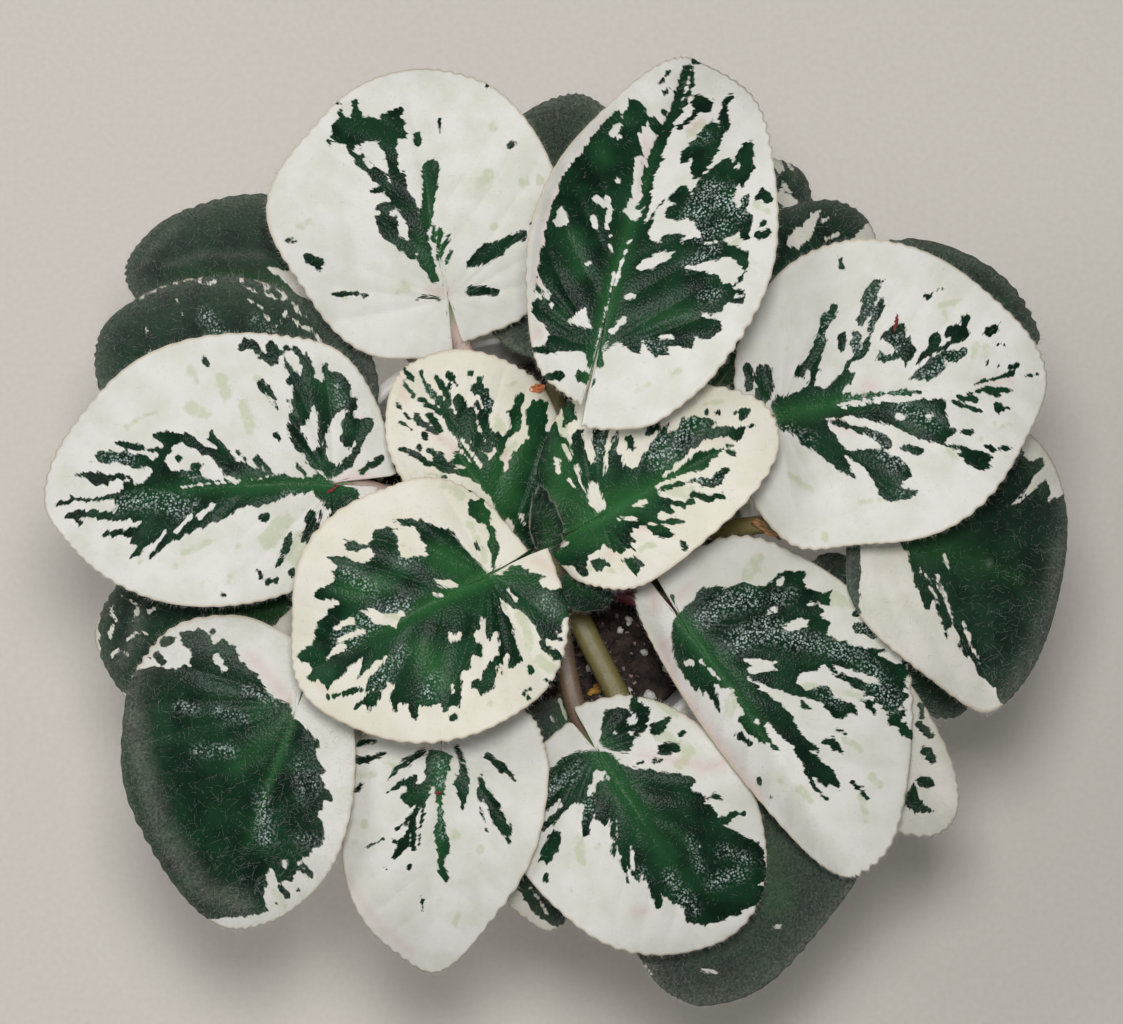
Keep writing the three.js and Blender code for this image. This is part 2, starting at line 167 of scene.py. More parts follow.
add_lamp("key_lamp", (0, 40, 760), size=150, power=2.35)
add_lamp("side_lamp", (-900, 300, 900), size=600, power=3.5)
world = bpy.data.worlds.new("surround")
world.use_nodes = True
feed(world.node_tree, world.node_tree.nodes["Background"],
     {"Color": linear("#F2F2F4"), "Strength": SURROUND_STRENGTH})
bpy.context.scene.world = world
bpy.context.scene.view_settings.view_transform = "Standard"

# --- Pot -----------------------------------------------------------------------------------------
# A four-inch nursery pot of white polypropylene, moulded in one piece, with a rolled rim and six
# drain holes in its floor.
POT_HEIGHT = 88
POT_RIM_RADIUS = 50
POT_FOOT_RADIUS = 34
POT_WALL = 2
RIM_WIDTH = 3.3
RIM_DEPTH = 9
RIM_ROUND = 1.6
POT_CORNER = 2
POT_SIDES = 144
DRAIN_HOLES = 6
DRAIN_RADIUS = 3.5
DRAIN_RING = 20
POT_SCUFF = 6
# The mould's fine grain, drawn coarser than the real 0.1 mm so that it shows.
POT_PORES = 0.7


def moulded_polypropylene():
    """White polypropylene, injection moulded: a low sheen, faint scuffs, and a little soil dust."""
    material, tree, shader = new_material("moulded_white_polypropylene")
    place = add(tree, "TexCoord", out="Object")
    scuff = add(tree, "TexNoise", {"Vector": place, "Scale": 1 / (POT_SCUFF * MM), "Detail": 6,
                                   "Roughness": 0.65})
    pores = add(tree, "TexNoise", {"Vector": place, "Scale": 1 / (POT_PORES * MM), "Detail": 3})
    dust_sheen_shade_marks = add(tree, "MapRange", {"Value": scuff, "From Min": 0.5, "From Max": 0.9})
    colour = add(tree, "Mix", {0: dust_sheen_shade_marks, 6: linear("#ECEBE8"), 7: linear("#DCD7CE")},
                 data_type="RGBA")
    rough = add(tree, "MapRange", {"Value": scuff, "To Min": 0.28, "To Max": 0.5})
    bump = add(tree, "Bump", {"Height": pores, "Strength": 0.3, "Distance": 0.1 * MM})
    feed(tree, shader, {"Base Color": colour, "Roughness": rough, "Normal": bump, "IOR": 1.49,
                        "Subsurface Weight": 0.1, "Subsurface Radius": (MM, MM, MM)})
    return material


def turned(profile, sides):
    """Points and faces of a closed body turned about +Z from [radius, height] pairs."""
    points = []
    rows = []
    for radius, height in profile:
        if radius == 0:
            rows.append([len(points)] * sides)
            points.append((0, 0, height))
            continue
        rows.append(list(range(len(points), len(points) + sides)))
        for i in range(sides):
            angle = 2 * math.pi * i / sides
            points.append((radius * math.cos(angle), radius * math.sin(angle), height))
    faces = []
    for low, high in zip(rows, rows[1:]):
        for i in range(sides):
            k = (i + 1) % sides
            corners = list(dict.fromkeys([low[i], low[k], high[k], high[i]]))
            if len(corners) > 2:
                faces.append(corners)
    return points, faces


def pot_inner_radius(height):
    """The inner face of the pot's wall at a height."""
    share = (height - POT_WALL) / (POT_HEIGHT - POT_WALL)
    spread_out = POT_RIM_RADIUS - RIM_WIDTH - POT_FOOT_RADIUS + POT_WALL
    return POT_FOOT_RADIUS - POT_WALL + share * spread_out


def corner_arc(centre, radius, start, end, steps=6):
    """Points on an arc of a profile, from one angle to another, in degrees."""
    angles = np.radians(np.linspace(start, end, steps))
    return [(centre[0] + radius * math.cos(a), centre[1] + radius * math.sin(a)) for a in angles]


rim_bottom = POT_HEIGHT - RIM_DEPTH
wall_top_radius = POT_RIM_RADIUS - RIM_WIDTH
pot_profile = [(0, 0)]
pot_profile += corner_arc((POT_FOOT_RADIUS - 1, 1), 1, -90, -12)
pot_profile += [(pot_inner_radius(rim_bottom) + POT_WALL, rim_bottom)]
pot_profile += corner_arc((POT_RIM_RADIUS - 1.3, rim_bottom + 1.1), 1, -90, 0, 5)
pot_profile += corner_arc((POT_RIM_RADIUS - RIM_ROUND, POT_HEIGHT - RIM_ROUND), RIM_ROUND, 0, 90)
pot_profile += corner_arc((wall_top_radius + 1.1, POT_HEIGHT - 1.1), 1.1, 90, 180, 5)
pot_profile += corner_arc((pot_inner_radius(POT_WALL + POT_CORNER) - POT_CORNER,
                           POT_WALL + POT_CORNER), POT_CORNER, 0, -90)
pot_profile += [(0, POT_WALL)]
pot = new_piece("moulded_pot", *turned(pot_profile, POT_SIDES), [moulded_polypropylene()])

drill_mesh = bmesh.new()
for i in range(DRAIN_HOLES):
    angle = 2 * math.pi * i / DRAIN_HOLES
    made = bmesh.ops.create_cone(drill_mesh, cap_ends=True, segments=32, depth=8 * MM,
                                 radius1=DRAIN_RADIUS * MM, radius2=DRAIN_RADIUS * MM)
    bmesh.ops.translate(drill_mesh, verts=made["verts"],
                        vec=(DRAIN_RING * math.cos(angle) * MM, DRAIN_RING * math.sin(angle) * MM, 0))
drill_data = bpy.data.meshes.new("drill")
drill_mesh.to_mesh(drill_data)
drill_mesh.free()
drill = bpy.data.objects.new("drill", drill_data)
bpy.context.scene.collection.objects.link(drill)
cut = pot.modifiers.new("drain_holes", "BOOLEAN")
cut.operation = "DIFFERENCE"
cut.object = drill
bpy.context.view_layer.update()
drilled = bpy.data.meshes.new_from_object(pot.evaluated_get(bpy.context.evaluated_depsgraph_get()))
pot.modifiers.clear()
pot.data = drilled
bpy.data.objects.remove(drill)
drilled.polygons.foreach_set("use_smooth", [True] * len(drilled.polygons))
drilled.set_sharp_from_angle(angle=math.radians(35))
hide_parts("pot")
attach(pot, "root")

# --- Soil ----------------------------------------------------------------------------------------
# A dark peat mix, filled to a finger's width under the rim: crumbs of peat over the surface, and
# white perlite grains, which are volcanic glass popped by heat, pressed into it.
SOIL_TOP = 77
SOIL_ROUGHNESS = 1.1
SOIL_EDGE_DROP = 3
FIT_GAP = 0.3
SOIL_SIDES = 96
SOIL_RINGS = 40
CRUMBS = 1500
CRUMB_SIZE = (0.6, 2.2)
PERLITE = 70
PERLITE_SIZE = (0.7, 1.7)
PEAT_CLUMP = 3
GRIT = 0.8
BUBBLE = 0.4

soil_draw = np.random.default_rng(11)


def soil_height(x, y):
    """The soil's surface: the same gentle lumps as the solid has, with finer ones over them."""
    grain = np.sin(x * 0.31 + 1.3) * np.cos(y * 0.27 - 0.6)
    lump = np.sin(x * 0.11 - y * 0.16 + 0.8)
    fine = np.sin(x * 1.7 + 2 * np.sin(y * 0.9)) * np.cos(y * 1.9 + 1.5 * np.sin(x * 1.1))
    return SOIL_TOP + SOIL_ROUGHNESS * (0.6 * grain + 0.4 * lump) + 0.35 * fine


def damp_peat():
    """Sieved peat, damp: near black, with brown fibres and pinkish mineral grains."""
    material, tree, shader = new_material("damp_peat_mix")
    place = add(tree, "TexCoord", out="Object")
    clump = add(tree, "TexNoise", {"Vector": place, "Scale": 1 / (PEAT_CLUMP * MM), "Detail": 5})
    grit = add(tree, "TexVoronoi", {"Vector": place, "Scale": 1 / (GRIT * MM)})
    brown = add(tree, "ValToRGB", {"Fac": clump})
    for element, position, colour in zip(brown.node.color_ramp.elements, (0.35, 0.7),
                                         ("#1B1512", "#4A3A31")):
        element.position = position
        element.color = linear(colour)
    mineral = add(tree, "MapRange", {"Value": grit.node.outputs["Color"], "From Min": 0.86,
                                     "From Max": 0.9})
    mixed = add(tree, "Mix", {0: mineral, 6: brown, 7: linear("#9A7F78")}, data_type="RGBA")
    bump = add(tree, "Bump", {"Height": grit, "Strength": 0.8, "Distance": 0.5 * MM})
    feed(tree, shader, {"Base Color": mixed, "Normal": bump, "Roughness": 0.85})
    return material


def popped_perlite():
    """Expanded perlite: chalk white, full of tiny bubbles, with a little soil in its hollows."""
    material, tree, shader = new_material("expanded_perlite")
    place = add(tree, "TexCoord", out="Object")
    bubbles = add(tree, "TexVoronoi", {"Vector": place, "Scale": 1 / (BUBBLE * MM)})
    colour = add(tree, "Mix", {0: bubbles, 6: linear("#CFC8BE"), 7: linear("#F4F1EC")},
                 data_type="RGBA")
    bump = add(tree, "Bump", {"Height": bubbles, "Strength": 0.9, "Distance": 0.2 * MM})
    feed(tree, shader, {"Base Color": colour, "Normal": bump, "Roughness": 0.75})
    return material


def grain_mesh(places, sizes, draw, flatness):
    """One mesh of small irregular grains: each is a rough ball with its points moved at random."""
    ball = bmesh.new()
    bmesh.ops.create_icosphere(ball, subdivisions=1, radius=1)
    unit = np.array([v.co for v in ball.verts])
    ball_faces = [[v.index for v in face.verts] for face in ball.faces]
    ball.free()
    points = []
    faces = []
    for k, (place, size) in enumerate(zip(places, sizes)):
        shape = unit * (1 + draw.uniform(-0.3, 0.3, (len(unit), 1)))
        shape = shape * draw.uniform(0.6, 1, 3) * (1, 1, flatness)
        turn = draw.uniform(0, 2 * math.pi)
        spin = np.array([[math.cos(turn), -math.sin(turn), 0], [math.sin(turn), math.cos(turn), 0],
                         [0, 0, 1]])
        points.append(shape @ spin * size + place)
        faces += [[i + k * len(unit) for i in face] for face in ball_faces]
    return np.concatenate(points), faces


soil_edge = pot_inner_radius(SOIL_TOP - SOIL_EDGE_DROP) - FIT_GAP
soil_bottom = POT_WALL + FIT_GAP
soil_corner = POT_CORNER + FIT_GAP
soil_profile = [(0, soil_bottom), (pot_inner_radius(soil_bottom) - soil_corner, soil_bottom),
                (pot_inner_radius(soil_bottom + soil_corner) - FIT_GAP, soil_bottom + soil_corner),
                (soil_edge, SOIL_TOP - SOIL_EDGE_DROP)]
soil_profile += [(soil_edge * share, SOIL_TOP) for share in np.linspace(0.985, 0.02, SOIL_RINGS)]
soil_profile += [(0, SOIL_TOP)]
soil_points, soil_faces = turned(soil_profile, SOIL_SIDES)
soil_points = np.array(soil_points)
soil_upper = soil_points[:, 2] > SOIL_TOP - 0.5
soil_points[soil_upper, 2] = soil_height(soil_points[soil_upper, 0], soil_points[soil_upper, 1])
peat = damp_peat()
soil = new_piece("peat_mix", soil_points, soil_faces, [peat])
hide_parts("soil")

spread = soil_edge * 0.97 * np.sqrt(soil_draw.uniform(0, 1, CRUMBS + PERLITE))
bearing = soil_draw.uniform(0, 2 * math.pi, CRUMBS + PERLITE)
grain_x = spread * np.cos(bearing)
grain_y = spread * np.sin(bearing)
grain_places = np.stack([grain_x, grain_y, soil_height(grain_x, grain_y)], 1)
crumb_sizes = soil_draw.uniform(*CRUMB_SIZE, CRUMBS) * soil_draw.uniform(0.4, 1, CRUMBS)
crumbs = new_piece("peat_crumbs", *grain_mesh(grain_places[:CRUMBS], crumb_sizes, soil_draw, 0.6),
                   [peat], smooth=False)
perlite = new_piece("perlite_grains",
                    *grain_mesh(grain_places[CRUMBS:], soil_draw.uniform(*PERLITE_SIZE, PERLITE),
                                soil_draw, 0.8), [popped_perlite()])
for piece in (soil, crumbs, perlite):
    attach(piece, "root")

# --- Crown ---------------------------------------------------------------------------------------
# The short thick stem in the middle, olive green and soft, ringed with the scars of old leaves.
CROWN_X = 5
CROWN_Y = -4
CROWN_FOOT = 60
CROWN_TOP = 103
CROWN_RADIUS = 7.4
CROWN_TOP_RADIUS = 4.6
CROWN_SCARS = 5
SCAR_DEPTH = 0.5
CROWN_STEPS = 90
CROWN_SIDES = 48
CORK = 2


def crown_skin():
    """Soft plant tissue, grown: olive with brown corky scars and a waxy low gloss."""
    material, tree, shader = new_material("soft_crown_stem")
    place = add(tree, "TexCoord", out="Object")
    cork = add(tree, "TexNoise", {"Vector": place, "Scale": 1 / (CORK * MM), "Detail": 6})
    colour = add(tree, "Mix", {0: cork, 6: linear("#5E6A36"), 7: linear("#7A5B44")},
                 data_type="RGBA")
    bump = add(tree, "Bump", {"Height": cork, "Distance": 0.4 * MM})
    feed(tree, shader, {"Base Color": colour, "Normal": bump, "Roughness": 0.55})
    return material


crown_profile = [(0, CROWN_FOOT), (CROWN_RADIUS - 1.5, CROWN_FOOT)]
for step in range(CROWN_STEPS + 1):
    share = step / CROWN_STEPS
    height = CROWN_FOOT + 4 + share * (CROWN_TOP - CROWN_FOOT - 8)
    radius = CROWN_RADIUS + (CROWN_TOP_RADIUS - CROWN_RADIUS) * share * share
    scar = SCAR_DEPTH * math.sin(math.pi * share * CROWN_SCARS) ** 2
    crown_profile.append((radius - scar, height))
crown_profile += [(CROWN_TOP_RADIUS * 0.75, CROWN_TOP - 1.5),
                  (CROWN_TOP_RADIUS * 0.35, CROWN_TOP - 0.2), (0, CROWN_TOP)]
crown_points, crown_faces = turned(crown_profile, CROWN_SIDES)
crown_points = np.array(crown_points) + (CROWN_X, CROWN_Y, 0)
crown = new_piece("crown_stem", crown_points, crown_faces, [crown_skin()])
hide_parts("crown")
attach(crown, "root")

# --- What every leaf is made of ------------------------------------------------------------------
# A leaf is a soft, thick, hairy blade on a fleshy stalk. Where cells lack their green the blade is
# white or cream; the green lies in jagged patches, drawn out along the veins.
BLADE_THICKNESS = 0.9
LOBE_FULLNESS = 0.85
LOBE_END_FULLNESS = 0.3
# Side veins leave the midrib at an angle, this far apart in mm, and fan out round the base.
VEIN_ANGLE = math.radians(48)
VEIN_CURVE = 0.004
VEIN_SPACING = 8.5
LOBE_FAN = 26
TOOTH_PITCH = 4.2
TOOTH_DEPTH = 0.5
# How far a margin wanders in and out, as a share of the blade's half width.
UNEVEN = 0.012
# The midrib's groove, and how far from it the quilting between the side veins starts.
GROOVE_HALF = 1.5
GROOVE_DEPTH = 0.5
QUILT_START = 7
# White parts are thicker and keep this share of the quilting.
WHITE_QUILT = 0.55
# A curled margin rolls over from this share of the way out.
ROLL_START = 0.86
ROLL_WIDTH = 0.14
STALK_SIDES = 18
STALK_STEPS = 26
# The keel under the blade: how far out from the middle its rings lie, and how it thins there.
KEEL_REACHES = [1, 0.92, 0.84, 0.67, 0.5, 0.25]
KEEL_TAPER = ([0.25, 0.5, 0.84, 1], [0.3, 0.56, 0.78, 1])
STALK_ROOT_DEPTH = 2
# How hard a stalk holds its first and last directions, as shares of the way it spans, and the
# depth of the groove along its upper side.
STALK_OUTWARD = 0.35
STALK_ARRIVAL = 0.25
STALK_GROOVE = 0.22
KEEL_SINK = 0.8
KEEL_THINNING = 0.22
# Hairs are about 0.04 mm thick; they stand along the margin, on the upper face and on the stalk.
HAIR_RADIUS = 0.019
RIM_HAIRS_PER_MM = 5
STALK_HAIRS_PER_MM = 9
# The domed cells of the skin and the nap of its shortest hairs. Real ones are about 0.1 mm, too
# fine to show, so they are drawn coarser.
CELL = 0.52
FINE_RELIEF = 0.35
NAP = 0.6
# The tints wander over a blade in flecks and clouds, and over a stalk in dots and clouds.
FLECK = 1.8
CLOUD = 7
STALK_DOT = 0.9
STALK_CLOUD = 3
# How ragged the green's edge is: the size of the jags across and along the veins, and their depth.
JAGS = ((1.7, 2.4, 1.1), (0.65, 0.85, 0.4))
JAG_LEVEL = sum(depth for across, along, depth in JAGS)
JAG_BLUR = 0.14
# How far inside the green, in mm, every point of a plain green leaf counts as lying.
ALL_GREEN = 6.0
UP = np.array([0, 0, 1.0])


def blade_skin(name, pale, pale_shade, deep, dark, fresh, sheen, gloss):
    """Living leaf skin: soft white or cream where it has no green, quilted satin where it has.
    Along the margin it dries to tan, and down the ribs the green is fresher. The domed cells carry painted
    highlights as silvery beads. Dense short hairs give old leaves a grey tint, which is partly a painted
    sheen and, on a folded strip, painted shade."""
    material, tree, shader = new_material(name)
    veins = add(tree, "Attribute", out="Vector", attribute_name="vein_place")
    place = add(tree, "Attribute", out="Vector", attribute_name="blade_place")
    stored = {}
    for label in ("marking", "rib", "margin", "under", "blush", "pale_green", "painted_glint", "dust_sheen_and_shade"):
        stored[label] = add(tree, "Attribute", out="Fac", attribute_name=label)
    field = stored["marking"]
    for across, along, depth in JAGS:
        drawn = add(tree, "VectorMath", {0: veins, 1: (1 / across, 1 / along, 1)},
                    operation="MULTIPLY")
        jag = add(tree, "TexNoise", {"Vector": drawn, "Scale": 1, "Detail": 2})
        field = add(tree, "Math", {0: jag, 1: 2 * depth, 2: field}, operation="MULTIPLY_ADD")
    green = add(tree, "MapRange", {"Value": field, "From Min": JAG_LEVEL - JAG_BLUR,
                                   "From Max": JAG_LEVEL + JAG_BLUR})
    cloud = add(tree, "TexNoise", {"Vector": place, "Scale": 1 / CLOUD, "Detail": 3})
    fleck = add(tree, "TexNoise", {"Vector": place, "Scale": 1 / FLECK, "Detail": 3})
    nap = add(tree, "TexNoise", {"Vector": place, "Scale": 1 / NAP, "Detail": 3})
    fine = add(tree, "TexNoise", {"Vector": place, "Scale": 1 / FINE_RELIEF, "Detail": 2})
    cells = add(tree, "TexVoronoi", {"Vector": place, "Scale": 1 / CELL, "Smoothness": 0.6},
                feature="SMOOTH_F1")

    spots = add(tree, "Math", {0: fleck, 1: 2.2, 2: stored["pale_green"]},
                operation="MULTIPLY_ADD")
    spots = add(tree, "MapRange", {"Value": spots, "From Min": 1.5, "From Max": 2.1,
                                   "To Max": 0.5})
    shade = add(tree, "MapRange", {"Value": cloud, "From Min": 0.4, "From Max": 0.7})
    edge = add(tree, "MapRange", {"Value": stored["margin"], "From Min": 0.7, "From Max": 0.1,
                                  "To Max": 0.6})
    white = linear(pale)
    for share, colour in ((shade, pale_shade), (spots, "#BBC79A"), (stored["blush"], "#D9A9A6"),
                          (edge, "#C9B79A")):
        white = add(tree, "Mix", {0: share, 6: white, 7: linear(colour)}, data_type="RGBA")

    depth = add(tree, "MapRange", {"Value": cloud, "From Min": 0.38, "From Max": 0.62})
    # Painted highlight: silvery colour on the tops of the domed cells, in clusters, where the leaf's strokes
    # call for glints.
    clusters = add(tree, "MapRange", {"Value": fleck, "From Min": 0.4, "From Max": 0.58,
                                      "To Min": 0.45, "To Max": 1.1})
    beads = add(tree, "MapRange", {"Value": cells, "From Min": 0.5, "From Max": 0.22,
                                   "To Max": 0.85})
    painted_glint = add(tree, "Math", {0: clusters, 1: stored["painted_glint"]}, operation="MULTIPLY")
    painted_glint = add(tree, "Math", {0: beads, 1: painted_glint}, operation="MULTIPLY")
    leafy = linear(dark)
    for share, colour in ((depth, deep), (stored["rib"], fresh), (painted_glint, "#CBDAD6")):
        leafy = add(tree, "Mix", {0: share, 6: leafy, 7: linear(colour)}, data_type="RGBA")

    # Grey tint of dense short hairs: partly a painted sheen of hairs lit at a grazing angle, and on a folded
    # strip painted shade.
    matted = add(tree, "MapRange", {"Value": nap, "From Min": 0.3, "From Max": 0.75,
                                    "To Min": 0.35, "To Max": 1.5})
    dust_sheen_and_shade = add(tree, "Math", {0: matted, 1: stored["dust_sheen_and_shade"]}, operation="MULTIPLY")
    on_green = add(tree, "MapRange", {"Value": green, "To Min": 0.3})
    dust_sheen_and_shade = add(tree, "Math", {0: dust_sheen_and_shade, 1: on_green}, operation="MULTIPLY")
    top = add(tree, "Mix", {0: green, 6: white, 7: leafy}, data_type="RGBA")
    top = add(tree, "Mix", {0: dust_sheen_and_shade, 6: top, 7: linear("#81867A")}, data_type="RGBA")
    below = add(tree, "Mix", {0: 0.55, 6: top, 7: linear("#B7B79C")}, data_type="RGBA")
    colour = add(tree, "Mix", {0: stored["under"], 6: top, 7: below}, data_type="RGBA")

    relief = add(tree, "Math", {0: fine, 1: 0.35, 2: cells}, operation="MULTIPLY_ADD")
    height = add(tree, "Math", {0: relief, 1: green}, operation="MULTIPLY")
    height = add(tree, "Math", {0: relief, 1: 0.25, 2: height}, operation="MULTIPLY_ADD")
    bump = add(tree, "Bump", {"Height": height, "Strength": 1, "Distance": 0.055 * MM},
               invert=True)
    rough = add(tree, "Mix", {0: green, 2: 0.5, 3: gloss})
    feed(tree, shader, {
        "Base Color": colour, "Roughness": rough, "Normal": bump, "IOR": 1.25,
        "Specular IOR Level": 0.22, "Subsurface Weight": 0.08,
        "Subsurface Radius": (0.8 * MM, 0.7 * MM, 0.4 * MM), "Sheen Weight": sheen,
        "Sheen Roughness": 0.45, "Sheen Tint": linear("#D8D4DC")})
    return material


def stalk_skin(name, main, edge):
    """A fleshy leaf stalk, grown: smooth and juicy, with fine dark dots, and painted shade that darkens its
    sides.
    """
    material, tree, shader = new_material(name)
    place = add(tree, "Attribute", out="Vector", attribute_name="blade_place")
    side = add(tree, "Attribute", out="Fac", attribute_name="margin")
    near = add(tree, "Attribute", out="Fac", attribute_name="rib")
    cloud = add(tree, "TexNoise", {"Vector": place, "Scale": 1 / STALK_CLOUD, "Detail": 4})
    dots = add(tree, "TexVoronoi", {"Vector": place, "Scale": 1 / STALK_DOT})
    dotted = add(tree, "MapRange", {"Value": dots, "From Min": 0.28, "From Max": 0.18,
                                    "To Max": 0.6})
    # Painted shade: the stalk's sides darken towards the edge colour, with clouds over them.
    tone = add(tree, "Math", {0: cloud, 1: 0.5, 2: side}, operation="MULTIPLY_ADD")
    skin = linear(main)
    for share, colour in ((tone, edge), (dotted, edge), (near, "#4F7A3E")):
        skin = add(tree, "Mix", {0: share, 6: skin, 7: linear(colour)}, data_type="RGBA")
    bump = add(tree, "Bump", {"Height": cloud, "Strength": 0.5, "Distance": 0.2 * MM})
    feed(tree, shader, {"Base Color": skin, "Normal": bump, "Roughness": 0.4, "IOR": 1.4,
                        "Subsurface Weight": 0.15,
                        "Subsurface Radius": (1.2 * MM, 0.7 * MM, 0.4 * MM)})
    return material


def hair_gloss():
    """Leaf hairs: clear, colourless threads of single cells that look white against the light."""
    material, tree, shader = new_material("clear_leaf_hair")
    feed(tree, shader, {"Base Color": linear("#F2F0EC"), "Roughness": 0.35, "Alpha": 0.55})
    return material


WHITE_SKIN = blade_skin("white_variegated_leaf", "#E9E7E0", "#DCDCCF", "#1B3C26", "#0F2418",
                        "#33683A", 0.03, 0.27)
CREAM_SKIN = blade_skin("cream_variegated_leaf", "#EDE9DB", "#E6E2CE", "#1E4629", "#10291A",
                        "#37703A", 0.03, 0.27)
GREEN_SKIN = blade_skin("old_green_leaf", "#E6E2D8", "#D8D6C6", "#203A29", "#14271C",
                        "#2F5E30", 0.12, 0.38)
OLIVE_STALK = stalk_skin("olive_fleshy_stalk", "#8A8350", "#6B5C38")
BROWN_STALK = stalk_skin("brown_fleshy_stalk", "#86705A", "#5C463A")
RED_STALK = stalk_skin("red_fleshy_stalk", "#7A3038", "#4A141E")
PINK_STALK = stalk_skin("pink_fleshy_stalk", "#D9C9BD", "#9C6A60")
HAIR = hair_gloss()


def smooth_step(value):
    """0 to 1 with soft ends."""
    t = np.clip(value, 0, 1)
    return t * t * (3 - 2 * t)


def stroke_field(pixels, strokes):
    """How far (mm) each point lies inside the nearest of some tapering strokes. A stroke is its
    radius at the start and at the end and then its points, all in the photo's pixels."""
    best = np.full(len(pixels), -9.0)
    for start_radius, end_radius, *flat in strokes:
        corners = np.array(flat, float).reshape(-1, 2)
        if len(corners) == 1:
            corners = np.concatenate([corners, corners + 0.01])
        radii = np.linspace(start_radius, end_radius, len(corners))
        for a, b, ra, rb in zip(corners, corners[1:], radii, radii[1:]):
            line = b - a
            share = np.clip(((pixels - a) @ line) / (line @ line), 0, 1)
            distance = np.linalg.norm(pixels - a - share[:, None] * line, axis=1)
            best = np.maximum(best, (ra + (rb - ra) * share - distance) * PIXEL_AT_AIM)
    return best


def soft_strokes(pixels, strokes, blur, at_edge, most=1):
    """Strokes with sides as soft as blur (mm): from 0 outside, through at_edge, up to most."""
    return smooth_step(stroke_field(pixels, strokes) / blur + at_edge) * most


def patch_field(pixels, patches):
    """How far (mm) each point lies inside the nearest of some closed outlines, each given as its
    corners in the photo's pixels."""
    best = np.full(len(pixels), -9.0)
    for flat in patches:
        corners = np.array(flat, float).reshape(-1, 2)
        near = np.full(len(pixels), 999.0)
        inside = np.zeros(len(pixels), bool)
        for a, b in zip(corners, np.roll(corners, -1, 0)):
            line = b - a
            share = np.clip(((pixels - a) @ line) / (line @ line + 1e-9), 0, 1)
            near = np.minimum(near, np.linalg.norm(pixels - a - share[:, None] * line, axis=1))
            crossing = (a[1] > pixels[:, 1]) != (b[1] > pixels[:, 1])
            slope = line[0] / (line[1] if line[1] else 1e-9)
            inside ^= crossing & (pixels[:, 0] < a[0] + (pixels[:, 1] - a[1]) * slope)
        best = np.maximum(best, np.where(inside, near, -near) * PIXEL_AT_AIM)
    return best


def spike_mesh(roots, ends, radius):
    """One mesh of thin three-sided hairs from their roots and ends."""
    along = ends - roots
    along /= np.linalg.norm(along, axis=1, keepdims=True)
    side = np.cross(along, np.where(np.abs(along[:, 2:]) > 0.9, (1.0, 0, 0), UP))
    side /= np.linalg.norm(side, axis=1, keepdims=True)
    other = np.cross(along, side)
    corners = []
    for k in range(3):
        angle = 2 * math.pi * k / 3
        corners.append(roots + radius * (side * math.cos(angle) + other * math.sin(angle)))
    points = np.stack([*corners, ends], 1).reshape(-1, 3)
    first = 4 * np.arange(len(roots))[:, None]
    shape = np.array([[0, 1, 3], [1, 2, 3], [2, 0, 3], [0, 2, 1]])
    faces = (first[:, :, None] + shape[None]).reshape(-1, 3)
    return points, faces.tolist()


